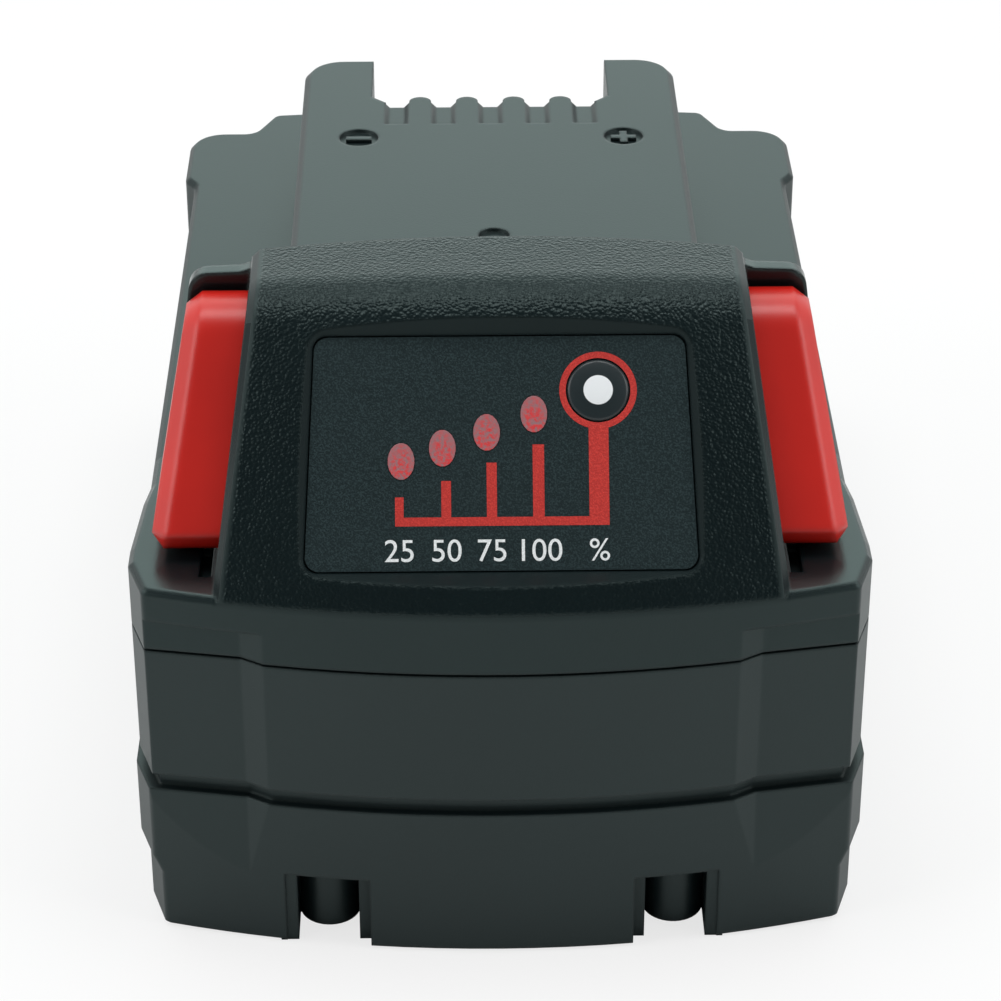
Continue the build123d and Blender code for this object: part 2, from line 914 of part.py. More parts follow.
def gauge_post_places():
    x = gauge_board_width / 2 - gauge_post_inset
    bottom, top = gauge_board_levels()
    low, high = bottom + gauge_post_inset, top - gauge_post_inset
    return [(side * x, height) for side in (-1, 1) for height in (low, high)]


def build_gauge_board():
    top = -gauge_board_depth
    bottom, upper = gauge_board_levels()
    outline = Pos(0, (bottom + upper) / 2) * Rectangle(gauge_board_width, upper - bottom)
    return face_solid(outline, top - gauge_board_thickness, top)


def build_leds():
    top = -gauge_board_depth
    chip = Rectangle(led_size, led_size)
    return [face_solid(Pos(*place) * chip, top, top + led_height) for place in window_places()]


def build_light_windows():
    bottom = -gauge_board_depth + led_height + led_gap
    low, high = label_levels()
    shafts = window_shafts(0, bottom, low)
    ovals = window_ovals(0, low, high + window_proud)
    return [shaft + oval for shaft, oval in zip(shafts, ovals)]


def build_switch():
    place = Pos(*button_place())
    board_level = -gauge_board_depth
    body_level = board_level + switch_height
    body = face_solid(place * Rectangle(switch_size, switch_size), board_level, body_level)
    plunger = place * Rectangle(switch_plunger_width, switch_plunger_width)
    return body + face_solid(plunger, body_level, body_level + switch_plunger_height)


def build_gauge_button():
    low, high = label_levels()
    place = Pos(*button_place())
    flange_top = low - button_flange_gap
    flange_bottom = flange_top - button_flange_thickness
    rim = high + button_proud - button_bevel_height
    flange = place * RegularPolygon(button_flange_radius, button_flange_sides)
    button = face_solid(flange, flange_bottom, flange_top)
    cap = place * Circle(button_radius)
    button += face_solid(cap, flange_bottom, rim)
    slope = math.degrees(math.atan2(button_bevel_width, button_bevel_height))
    button += extrude(on_face(rim) * cap, button_bevel_height, taper=slope)
    tip = -gauge_board_depth + switch_height + switch_plunger_height + switch_gap + button_travel
    stem = place * Rectangle(button_stem_width, button_stem_width)
    return button + face_solid(stem, tip, flange_bottom)


# Upper case

def release_window(side):
    # Hole in the side of the head that a release button slides through.
    return release_block(side, release_gap, release_inner_x + release_flange_thickness, case_half_width)


def build_top_case():
    bottom = upper_bottom_z()
    body = slab(upper_plan, bottom, shelf_z)
    body = chamfer(body.faces().sort_by(Axis.Z)[-1].edges(), shelf_edge_chamfer)
    body -= panel_cut()
    case = body + build_head() + build_rail()
    for side in (-1, 1):
        case += build_fence(side)
    inside = inner_plan(case_wall)
    case -= slab(inside, bottom - overrun, shelf_z - case_wall)
    inner_back = head_back() - head_back_wall
    hollow = face_ball(head_face_wall) & head_wedge(head_side_wall, head_top_wall, inner_back)
    case -= hollow & slab(inside, bottom - overrun, pack_height)
    stem_inside = stem_half_width - stem_wall
    stem_end = rail_end() - stem_wall
    stem_z = (shelf_z - case_wall - overrun, rail_top_z - rail_roof)
    case -= box((-stem_inside, stem_inside), (inner_back - overrun, stem_end), stem_z)
    # Rebate over the lip of the lower case
    rebate = inner_plan(case_wall - lip_thickness - lip_clearance)
    case -= slab(rebate, bottom - overrun, parting_z + lip_height + lip_clearance)
    # Gauge recess, its mounting posts and the holes through the face
    for place in gauge_post_places():
        section = Pos(*place) * Rectangle(gauge_post_width, gauge_post_width)
        case += face_solid(section, -gauge_board_depth, head_face_bow - head_face_wall)
    case -= recess_cut()
    mark_z = (rail_top_z - mark_depth, rail_top_z + overrun)
    case -= post(0, rail_end() - centre_mark_before_end, mark_z, centre_mark_radius)
    for side in (-1, 1):
        case -= release_window(side)
        case += spring_wall(side)
        case -= hook_window(side)
        case -= shelf_slot(side)
        case -= post(side * mark_x, rail_end() - mark_before_end, mark_z, mark_radius)
    for x in terminal_places():
        case -= slot_cut(x)
    for x, y in boss_places():
        case += screw_pillar(x, y)
        tip = counterbore_top_z + screw_length + overrun
        case -= flat_sided_hole(x, y, (boss_top_z - overrun, tip), screw_shank_radius + thread_clearance)
    return case


def spring_y():
    return head_back() - spring_before_back


def spring_peg():
    return extrude(RegularPolygon(spring_peg_radius, spring_peg_sides), spring_peg_length)


def spring_wall(side):
    # Rib inside the head that a latch spring pushes against, with its peg.
    y = spring_y()
    inner, outer = side * spring_wall_x, side * (spring_wall_x + spring_wall_thickness)
    back = head_back() - head_back_wall / 2
    top = pack_height - head_top_wall / 2 - arc_depth(head_crown_radius, spring_wall_x * 2)
    rib = box((inner, outer), (y - spring_wall_half_depth, back), (spring_z - spring_wall_drop, top))
    return rib + Pos(outer, y, spring_z) * Rot(0, 90 * side, 0) * spring_peg()


def hook_range():
    start = head_back() + hook_behind_head
    return start, start + hook_length


def hook_window(side):
    gap = latch_window_clearance
    start, end = hook_range()
    x_range = (side * (stem_half_width - stem_wall * 2), side * rail_half_width)
    y_range = (start - gap, end + gap)
    lip_z = rail_top_z - rail_lip_thickness
    return box(x_range, y_range, (latch_bottom_z - gap, min(latch_top_z + gap, lip_z)))


def shelf_slot(side):
    x_range = (side * shelf_slot_inner_x, side * shelf_slot_outer_x)
    y_range = (from_front(shelf_slot_start_from_front), from_front(shelf_slot_end_from_front))
    return box(x_range, y_range, (shelf_z - shelf_slot_depth, shelf_z + overrun))


def screw_pillar(x, y):
    # Stands on a boss of the lower case and is tied to the end wall by a web.
    end = math.copysign(1, y)
    top = front_pillar_top_z if end < 0 else shelf_z - case_wall / 2
    pillar = square_post(x, y, (boss_top_z, top), pillar_width)
    arc = front_arc_radius if end < 0 else rear_arc_radius
    wall = end * (half_length - arc_depth(arc, x) - case_wall / 2)
    half = pillar_web / 2
    bottom = parting_z + lip_height + lip_clearance * 2
    return pillar + box((x - half, x + half), (y, wall), (bottom, top))


# Release buttons

def release_back():
    return head_back() - head_back_wall - release_back_gap


def release_profile(front, rise, back):
    # Side view of a button, grown at its front, at its top and bottom, and at its back.
    bottom, top = release_bottom_z - rise, release_top_z + rise
    setback = (release_setback - front) / math.cos(lean)
    front_bottom = from_front((bottom - shelf_z) * math.tan(lean) + setback)
    front_top = from_front((top - shelf_z) * math.tan(lean) + setback)
    rear = release_back() + back
    outline = make_face(Polyline(
        (front_bottom, bottom), (rear, bottom), (rear, top), (front_top, top), close=True,
    ))
    foot = outline.vertices().sort_by_distance((front_bottom, bottom))[0]
    outline = chamfer(foot, release_foot_chamfer)
    brow = outline.vertices().sort_by_distance((front_top, top))[0]
    return fillet(brow, release_brow_radius + front)


def release_block(side, grow, inner_x, outer_x, rise=None, back=None):
    # The button's side view carried between two distances from the middle.
    profile = release_profile(grow, grow if rise is None else rise, grow if back is None else back)
    block = extrude(Plane.YZ * profile, outer_x - inner_x)
    block = Pos(inner_x, 0, 0) * block
    return block if side > 0 else mirror(block, about=Plane.YZ)


def release_side_wedge(side, set_in):
    # Keeps what lies inside the leaning outer side, set in by a wall.
    lean_in = math.tan(math.radians(release_side_lean))
    low, high = shelf_z, pack_height
    foot = release_side_x - set_in + (release_side_z - low) * lean_in
    tip = release_side_x - set_in - (high - release_side_z) * lean_in
    wedge = make_face(Polyline((0, low), (side * foot, low), (side * tip, high), (0, high), close=True))
    return extrude(Plane.XZ * wedge, pack_length, both=True)


def build_release_button(side):
    button = release_block(side, 0, release_inner_x, case_half_width) & release_side_wedge(side, 0)
    outer = button.faces().sort_by(Axis.X)[-1 if side > 0 else 0]
    rim = [edge for edge in outer.edges() if edge.center().Y < release_back() - release_edge_chamfer / 2]
    button = chamfer(rim, release_edge_chamfer)
    flange_outer = release_inner_x + release_flange_thickness
    button += release_block(side, 0, release_inner_x, flange_outer, rise=release_flange_height)
    hollow_inner = release_inner_x + release_shell
    hollow = release_block(side, -release_shell, hollow_inner, case_half_width, back=overrun)
    button -= hollow & release_side_wedge(side, release_shell)
    # Pegs for the spring and for the latch
    turn = Rot(0, -90 * side, 0)
    x = side * release_inner_x
    button += Pos(x, spring_y(), spring_z) * turn * spring_peg()
    peg = extrude(Rectangle(latch_peg_width, latch_peg_width), latch_thickness + latch_peg_proud)
    return button + Pos(x, *latch_peg_place()) * turn * peg


# Latches and springs

def latch_cross_y():
    return head_back() - head_back_wall - latch_back_gap - latch_thickness / 2


def latch_peg_place():
    return latch_cross_y() - latch_mount_length / 2, (latch_bottom_z + latch_top_z) / 2


def build_latch(side):
    # Bent steel plate: a foot on the button, a cross arm and a long arm with the hook.
    foot_x = release_inner_x - latch_thickness / 2
    cross = latch_cross_y()
    path = FilletPolyline(
        (side * foot_x, cross - latch_mount_length),
        (side * foot_x, cross),
        (side * latch_arm_x, cross),
        (side * latch_arm_x, hook_range()[1] + latch_tail_length),
        radius=latch_thickness,
    )
    plan = trace(path, latch_thickness)
    start, end = hook_range()
    tip_x = stem_half_width + release_travel - hook_sunk
    ramp_start = start + (end - start) * (1 - hook_ramp_share)
    plan += make_face(Polyline(
        (side * latch_arm_x, start),
        (side * tip_x, start),
        (side * tip_x, ramp_start),
        (side * (stem_half_width - stem_wall), end),
        (side * latch_arm_x, end),
        close=True,
    ))
    latch = slab(plan, latch_bottom_z, latch_top_z)
    hole_width = latch_peg_width + latch_peg_clearance * 2
    hole = Box(latch_thickness * 4, hole_width, hole_width)
    return latch - Pos(side * foot_x, *latch_peg_place()) * hole


def build_spring(side):
    start = spring_wall_x + spring_wall_thickness + spring_end_gap + spring_wire_radius
    length = release_inner_x - spring_end_gap - spring_wire_radius - start
    sections = []
    for step in range(spring_turns * spring_steps + 1):
        share = step / (spring_turns * spring_steps)
        angle = 360 * step / spring_steps
        place = Rot(0, 0, angle) * Pos(spring_radius, 0, length * share) * Rot(90, 0, 0)
        sections.append(place * RegularPolygon(spring_wire_radius, spring_wire_sides))
    spring = loft([section.face() for section in sections], ruled=True)
    turn = Rot(0, 90 * side, 0)
    return Pos(side * start, spring_y(), spring_z) * turn * spring


# Boards and terminals

def stem_inside():
    return stem_half_width - stem_wall


def board_range():
    end = rail_end() - stem_wall - main_board_end_gap
    return head_back() + main_board_behind_head, end


def board_post_rows():
    start, end = board_range()
    return [start + board_post_inset, end - board_post_rear_inset]


def board_top_z():
    return main_board_z + main_board_thickness


def block_rear():
    return rail_end() - stem_wall - block_rear_gap


def terminal_pin_y():
    return block_rear() - terminal_length + terminal_pin_width


def build_main_board():
    half = stem_inside() - main_board_side_gap
    board = box((-half, half), board_range(), (main_board_z, board_top_z()))
    punch = (main_board_z - overrun, board_top_z() + overrun)
    for side in (-1, 1):
        for y in board_post_rows():
            board -= square_post(side * board_post_x, y, punch, board_pin_width + board_pin_clearance * 2)
    for x in terminal_places():
        board -= square_post(x, terminal_pin_y(), punch, terminal_pin_width + board_pin_clearance * 2)
    return board


def build_terminal_block():
    rear = block_rear()
    top = board_top_z()
    block = box((-block_half_width, block_half_width), (rear - block_length, rear), (top, block_top_z))
    half = block_slot_width / 2
    hole_width = terminal_pin_width + board_pin_clearance * 2
    slot_y = (rear - terminal_length - board_pin_clearance, rear + overrun)
    slot_z = (top + block_floor, block_top_z + overrun)
    for x in terminal_places():
        block -= box((x - half, x + half), slot_y, slot_z)
        block -= square_post(x, terminal_pin_y(), (0, block_top_z), hole_width)
    return block


def build_terminal(x):
    # Spring fork: two leaves that close to a waist and flare at the mouth.
    rear = block_rear()
    front = rear - terminal_length + terminal_leaf / 2
    widths = (terminal_mouth, terminal_waist, terminal_gap, terminal_gap)
    stations = (rear, rear - terminal_mouth_length, rear - terminal_waist_length, front)
    right = [(width / 2, y) for width, y in zip(widths, stations)]
    left = [(-width, y) for width, y in reversed(right)]
    fork = trace(Polyline(*right, *left), terminal_leaf)
    floor_z = board_top_z() + block_floor
    pin_z = (main_board_z - board_pin_proud, floor_z + terminal_leaf)
    pin = square_post(0, terminal_pin_y(), pin_z, terminal_pin_width)
    tab = box(
        (-terminal_gap / 2, terminal_gap / 2),
        (front, terminal_pin_y() + terminal_pin_width / 2),
        (floor_z, floor_z + terminal_leaf),
    )
    return Pos(x, 0, 0) * (slab(fork, floor_z, floor_z + terminal_height) + tab + pin)


def build_mosfets():
    top = board_top_z()
    half_x, half_y = mosfet_width / 2, mosfet_length / 2
    y = board_range()[0] + mosfet_inset
    first = -mosfet_pitch * (mosfet_count - 1) / 2
    parts = []
    for index in range(mosfet_count):
        x = first + index * mosfet_pitch
        parts.append(box((x - half_x, x + half_x), (y - half_y, y + half_y), (top, top + mosfet_height)))
    return parts


def connector_y():
    return board_range()[0] + connector_inset


def build_connector():
    y, top = connector_y(), board_top_z()
    half_x, half_y = connector_width / 2, connector_length / 2
    body = box((-half_x, half_x), (y - half_y, y + half_y), (top, top + connector_height))
    half_x, half_z = ribbon_width / 2 + board_pin_clearance, ribbon_thickness / 2 + board_pin_clearance
    middle = top + connector_height / 2
    return body - box((-half_x, half_x), (y - half_y - overrun, y), (middle - half_z, middle + half_z))


def build_ribbon():
    # Flat cable down the back of the gauge board and along to the connector.
    level = gauge_board_depth + gauge_board_thickness + ribbon_thickness / 2
    run_z = board_top_z() + connector_height / 2
    base = Vector(0, from_front(0), shelf_z) - slope_out * level
    start = base + slope_up * (gauge_board_levels()[0] + ribbon_overlap)
    bend = base + slope_up * ((run_z - base.Z) / slope_up.Z)
    end_y = connector_y() - board_pin_clearance
    path = FilletPolyline((start.Y, start.Z), (bend.Y, bend.Z), (end_y, run_z), radius=ribbon_bend_radius)
    strip = trace(path, ribbon_thickness)
    return extrude(Plane.YZ * strip, ribbon_width / 2, both=True)


def build_lead(side):
    # Nickel strap from an end strip over the holder and up to the main board.
    rows, layers = cell_row_places(), cell_layer_heights()
    row = rows[0] if side > 0 else rows[-1]
    toward = 1 if side > 0 else -1
    low = holder_top_z() + lead_gap
    high = low + strip_thickness
    half = lead_width / 2
    cell_end = cell_length / 2
    strip_top = layers[-1] + cell_radius - strip_gap
    board_end = board_range()[0] if side > 0 else board_range()[1]
    riser = board_end + toward * board_post_inset
    across = (side * lead_inner_x, side * (cell_end + strip_thickness))
    tab = (side * cell_end, side * (cell_end + strip_thickness))
    lead = box(tab, (row - half, row + half), (strip_top, high))
    lead += box(across, (row - half, row + half), (low, high))
    along = (side * lead_inner_x, side * (lead_inner_x + lead_width))
    lead += box(along, (row, riser + toward * strip_thickness), (low, high))
    return lead + box(along, (riser, riser + toward * strip_thickness), (low, main_board_z))


def build_screws():
    screws = []
    for x, y in boss_places():
        head_z = (counterbore_top_z - screw_head_height, counterbore_top_z)
        screw = post(x, y, head_z, screw_head_radius)
        shank = extrude(RegularPolygon(screw_shank_radius, screw_shank_sides), screw_length)
        screw += Pos(x, y, counterbore_top_z) * shank
        socket = extrude(RegularPolygon(screw_socket_radius, 6), screw_socket_depth)
        screws.append(screw - Pos(x, y, head_z[0]) * socket)
    return screws


# Writing the parts

os.makedirs("parts", exist_ok=True)
sides = {"left": -1, "right": 1}

write("top_case", build_top_case())
write("lower_case", build_lower_case())
write("gauge_label", build_label())
write("gauge_button", build_gauge_button())
write("gauge_board", build_gauge_board())
write("gauge_switch", build_switch())
write("gauge_leds", Compound(children=build_leds()))
for index, window in enumerate(build_light_windows(), start=1):
    write(f"gauge_window_{index}", window)
write("gauge_ribbon", build_ribbon())
for name, side in sides.items():
    write(f"{name}_release_button", build_release_button(side))
    write(f"{name}_latch", build_latch(side))
    write(f"{name}_latch_spring", build_spring(side))
    write(f"{name}_cell_holder", build_holder(side))
    write(f"{name}_insulator", build_insulator(side))
write("positive_lead", build_lead(1))
write("negative_lead", build_lead(-1))
strip_number = 0
for side, groups in strip_groups().items():
    for rows in groups:
        strip_number += 1
        write(f"cell_strip_{strip_number}", build_strip(side, rows))
for index, (y, z) in enumerate(cell_places(), start=1):
    row = (index - 1) // cell_layers
    write(f"cell_{index}", build_cell(y, z, 1 if row % 2 == 0 else -1))
write("main_board", build_main_board())
write("board_connector", build_connector())
write("power_transistors", Compound(children=build_mosfets()))
write("terminal_block", build_terminal_block())
for index, x in enumerate(terminal_places(), start=1):
    write(f"terminal_{index}", build_terminal(x))
write("case_screws", Compound(children=build_screws()))
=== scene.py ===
import math

import bmesh
import bpy
from mathutils import Matrix, Vector


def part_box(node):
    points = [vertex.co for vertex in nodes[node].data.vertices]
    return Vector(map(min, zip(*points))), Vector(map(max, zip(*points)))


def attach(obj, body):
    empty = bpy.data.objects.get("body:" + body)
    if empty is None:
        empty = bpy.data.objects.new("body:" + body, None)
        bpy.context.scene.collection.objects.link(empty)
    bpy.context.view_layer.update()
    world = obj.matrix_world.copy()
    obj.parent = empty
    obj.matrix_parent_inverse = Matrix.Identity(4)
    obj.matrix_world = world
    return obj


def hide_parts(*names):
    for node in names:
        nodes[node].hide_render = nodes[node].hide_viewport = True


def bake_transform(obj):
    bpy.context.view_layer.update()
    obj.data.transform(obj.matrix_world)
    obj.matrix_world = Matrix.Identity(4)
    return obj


# Power tool battery pack on a white table, seen from the front and above
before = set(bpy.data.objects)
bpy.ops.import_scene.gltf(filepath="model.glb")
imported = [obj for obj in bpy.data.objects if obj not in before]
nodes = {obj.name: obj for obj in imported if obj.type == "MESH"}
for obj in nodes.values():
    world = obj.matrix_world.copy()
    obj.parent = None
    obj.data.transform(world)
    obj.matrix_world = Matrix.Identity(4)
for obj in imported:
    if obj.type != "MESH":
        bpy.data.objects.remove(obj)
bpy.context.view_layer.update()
print("frame loaded,", len(nodes), "nodes")

mm = 0.001


def hexColour(code):
    # sRGB hex to the linear values that Blender works in
    channels = [int(code[i:i + 2], 16) / 255 for i in (1, 3, 5)]
    linear = [c / 12.92 if c <= 0.04045 else ((c + 0.055) / 1.055) ** 2.4 for c in channels]
    return (*linear, 1.0)


def addNode(tree, kind, inputs=None, **settings):
    # one node, with its settings, and its inputs set or linked
    node = tree.nodes.new(kind)
    for name, value in settings.items():
        setattr(node, name, value)
    for socket, value in (inputs or {}).items():
        if isinstance(value, bpy.types.NodeSocket):
            tree.links.new(value, node.inputs[socket])
        else:
            node.inputs[socket].default_value = value
    return node


def startMaterial(name, colour, roughness, ior=1.5, metallic=0.0, tint="#ffffff", level=0.5):
    # a new material with its surface shader and the piece's own coordinates
    material = bpy.data.materials.new(name)
    material.use_nodes = True
    tree = material.node_tree
    shader = tree.nodes["Principled BSDF"]
    shader.inputs["Base Color"].default_value = hexColour(colour)
    shader.inputs["Roughness"].default_value = roughness
    shader.inputs["IOR"].default_value = ior
    shader.inputs["Metallic"].default_value = metallic
    shader.inputs["Specular Tint"].default_value = hexColour(tint)
    shader.inputs["Specular IOR Level"].default_value = level
    place = addNode(tree, "ShaderNodeTexCoord").outputs["Object"]
    return material, tree, shader, place


def perMetre(size):
    # texture scale for a pattern whose features are this many millimetres apart
    return 1 / (size * mm)


def paint(material, *names):
    for name in names:
        slots = nodes[name].material_slots
        for slot in slots:
            slot.material = material


# Where the head and its leaning face are, as the part is built, in millimetres and degrees
face = {
    "lean": 36.0,
    "front": -64.0,
    "shelf": 44.7,
    "height": 72.6,
    "radius": 150.0,
    "headBack": -31.5,
    "fenceBack": -30.8,
    "sideFoot": 30.5,
    "sideLean": 8.4,
    "browHeight": 3.2,
    "labelStart": 4.72,
    "labelDepth": 1.43,
}
lean = math.radians(face["lean"])
slopeUp = Vector((0, math.sin(lean), math.cos(lean)))
slopeOut = Vector((0, -math.cos(lean), math.sin(lean)))
faceFoot = Vector((0, face["front"], face["shelf"])) * mm
slopeMiddle = (face["height"] - face["shelf"]) / math.cos(lean) / 2
faceBow = face["radius"] - math.sqrt(face["radius"] ** 2 - slopeMiddle ** 2)


def onLabel(x, v, out=0.0):
    # a point in label millimetres: across, up from its lower edge, and out from its surface
    climb = slopeUp * (face["labelStart"] + v) + slopeOut * (out - face["labelDepth"])
    return faceFoot + (Vector((x, 0, 0)) + climb) * mm


def meshPiece(name, points, faces, material, body=None, smooth=False):
    # an object from points and faces, which rides a body where one is named
    mesh = bpy.data.meshes.new(name)
    mesh.from_pydata([tuple(p) for p in points], [], faces)
    shape = bmesh.new()
    shape.from_mesh(mesh)
    bmesh.ops.recalc_face_normals(shape, faces=shape.faces)
    shape.to_mesh(mesh)
    shape.free()
    for polygon in mesh.polygons:
        polygon.use_smooth = smooth
    piece = bpy.data.objects.new(name, mesh)
    bpy.context.scene.collection.objects.link(piece)
    mesh.materials.append(material)
    if body:
        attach(piece, body)
    return piece


def flatPiece(name, loops, low, high, place, material, body):
    # closed thin plates from outlines, between two levels
    points, faces = [], []
    for loop in loops:
        start, count = len(points), len(loop)
        points += [place(x, y, low) for x, y in loop] + [place(x, y, high) for x, y in loop]
        faces.append(tuple(start + i for i in reversed(range(count))))
        faces.append(tuple(start + count + i for i in range(count)))
        for i in range(count):
            j = (i + 1) % count
            faces.append((start + i, start + j, start + count + j, start + count + i))
    return meshPiece(name, points, faces, material, body)


# Glass-filled nylon, moulded in a spark-eroded tool: near black with a leathery relief on the
# head, which breaks up the shine, and a fine even grain on the walls and the rail
upperNylon = {
    "colour": "#0d1618",
    "worn": "#141f21",
    "tint": "#dcf9f5",    # the carbon black in it leaves the reflections slightly green
    "level": 0.42,
    "roughness": 0.38,
    "pebble": 0.37,       # mm between the pebbles of the relief
    "pebbleDepth": 0.085,
    "pebbleTop": 0.9,     # how high the pebbles reach, and how far they melt into each other
    "pebbleSoft": 0.35,
    "driftScale": 1.6,    # mm, the slower noise that pulls the pebbles about, and how far
    "drift": 0.5,
    "pebbleLevel": 0.2,   # the creases swallow part of the reflection
    "pebbleGloss": 0.25,
    "pocketLevel": 0.2,
    "shelfLevel": 0.5,
    "polished": 0.2,      # roughness of the shelf, the fences and the label's pocket, left smooth
    "grain": 0.22,        # mm between the grains of the plain walls
    "grainDepth": 0.011,
    "edge": 0.6,          # mm that the edges are rounded over
    "reliefStart": -1.1,  # mm above the shelf where the relief begins to fade in
    "edgeBand": 1.15,     # mm of smooth band along the sides of the head
    "bandFade": 0.2,
    "seam": 0.1,          # mm that the zones reach past the surfaces that they follow
    "cloud": 18.0,        # mm between the lighter clouds, their limits and how strong they get
    "cloudFrom": 0.45,
    "cloudFull": 0.75,
    "cloudShare": 0.25,
}


def reliefMask(tree, place):
    # 1 on the head's skin, 0 in the label's pocket, on the side bands and on the walls
    parts = addNode(tree, "ShaderNodeSeparateXYZ", {0: place})
    x = addNode(tree, "ShaderNodeMath", {0: parts.outputs["X"]}, operation="ABSOLUTE").outputs[0]
    z = parts.outputs["Z"]
    above = addNode(tree, "ShaderNodeMapRange", {
        "Value": z,
        "From Min": (face["shelf"] + upperNylon["reliefStart"]) * mm,
        "From Max": (face["shelf"] + upperNylon["seam"]) * mm,
    }).outputs[0]
    before = addNode(
        tree, "ShaderNodeMath", {0: parts.outputs["Y"], 1: face["headBack"] * mm}, operation="LESS_THAN",
    ).outputs[0]
    # how far inside the leaning side of the head
    slant = math.tan(math.radians(face["sideLean"]))
    sideAtZero = (face["sideFoot"] + face["shelf"] * slant) * mm
    side = addNode(
        tree, "ShaderNodeMath", {0: z, 1: -slant, 2: sideAtZero}, operation="MULTIPLY_ADD",
    ).outputs[0]
    inside = addNode(tree, "ShaderNodeMath", {0: side, 1: x}, operation="SUBTRACT").outputs[0]
    band = addNode(tree, "ShaderNodeMapRange", {
        "Value": inside,
        "From Min": (upperNylon["edgeBand"] - upperNylon["bandFade"]) * mm,
        "From Max": (upperNylon["edgeBand"] + upperNylon["bandFade"]) * mm,
    }).outputs[0]
    # how far out of the ball that the face is part of
    centre = faceFoot + (slopeUp * slopeMiddle + slopeOut * (faceBow - face["radius"])) * mm
    reach = addNode(
        tree, "ShaderNodeVectorMath", {0: place, 1: tuple(centre)}, operation="DISTANCE",
    ).outputs["Value"]
    proud = addNode(
        tree, "ShaderNodeMath", {0: reach, 1: (face["radius"] - upperNylon["seam"]) * mm},
        operation="GREATER_THAN",
    ).outputs[0]
    up = addNode(
        tree, "ShaderNodeVectorMath", {0: place, 1: tuple(faceFoot)}, operation="SUBTRACT",
    ).outputs["Vector"]
    up = addNode(
        tree, "ShaderNodeVectorMath", {0: up, 1: tuple(slopeUp)}, operation="DOT_PRODUCT",
    ).outputs["Value"]
    brow = addNode(
        tree, "ShaderNodeMath", {0: up, 1: (slopeMiddle * 2 - face["browHeight"]) * mm},
        operation="GREATER_THAN",
    ).outputs[0]
    skin = addNode(tree, "ShaderNodeMath", {0: proud, 1: brow}, operation="MAXIMUM").outputs[0]
    mask = above
    for other in (before, band, skin):
        mask = addNode(tree, "ShaderNodeMath", {0: mask, 1: other}, operation="MULTIPLY").outputs[0]
    # 1 beside the head, from the shelf's front edge to the fences, and in the label's pocket
    beside = addNode(
        tree, "ShaderNodeMath", {0: inside, 1: upperNylon["seam"] * mm}, operation="LESS_THAN",
    ).outputs[0]
    forward = addNode(
        tree, "ShaderNodeMath", {0: parts.outputs["Y"], 1: face["fenceBack"] * mm}, operation="LESS_THAN",
    ).outputs[0]
    pocket = addNode(tree, "ShaderNodeMath", {0: 1.0, 1: skin}, operation="SUBTRACT").outputs[0]
    smooth = addNode(tree, "ShaderNodeMath", {0: beside, 1: pocket}, operation="MAXIMUM").outputs[0]
    for other in (above, forward):
        smooth = addNode(tree, "ShaderNodeMath", {0: smooth, 1: other}, operation="MULTIPLY").outputs[0]
    return mask, smooth, beside


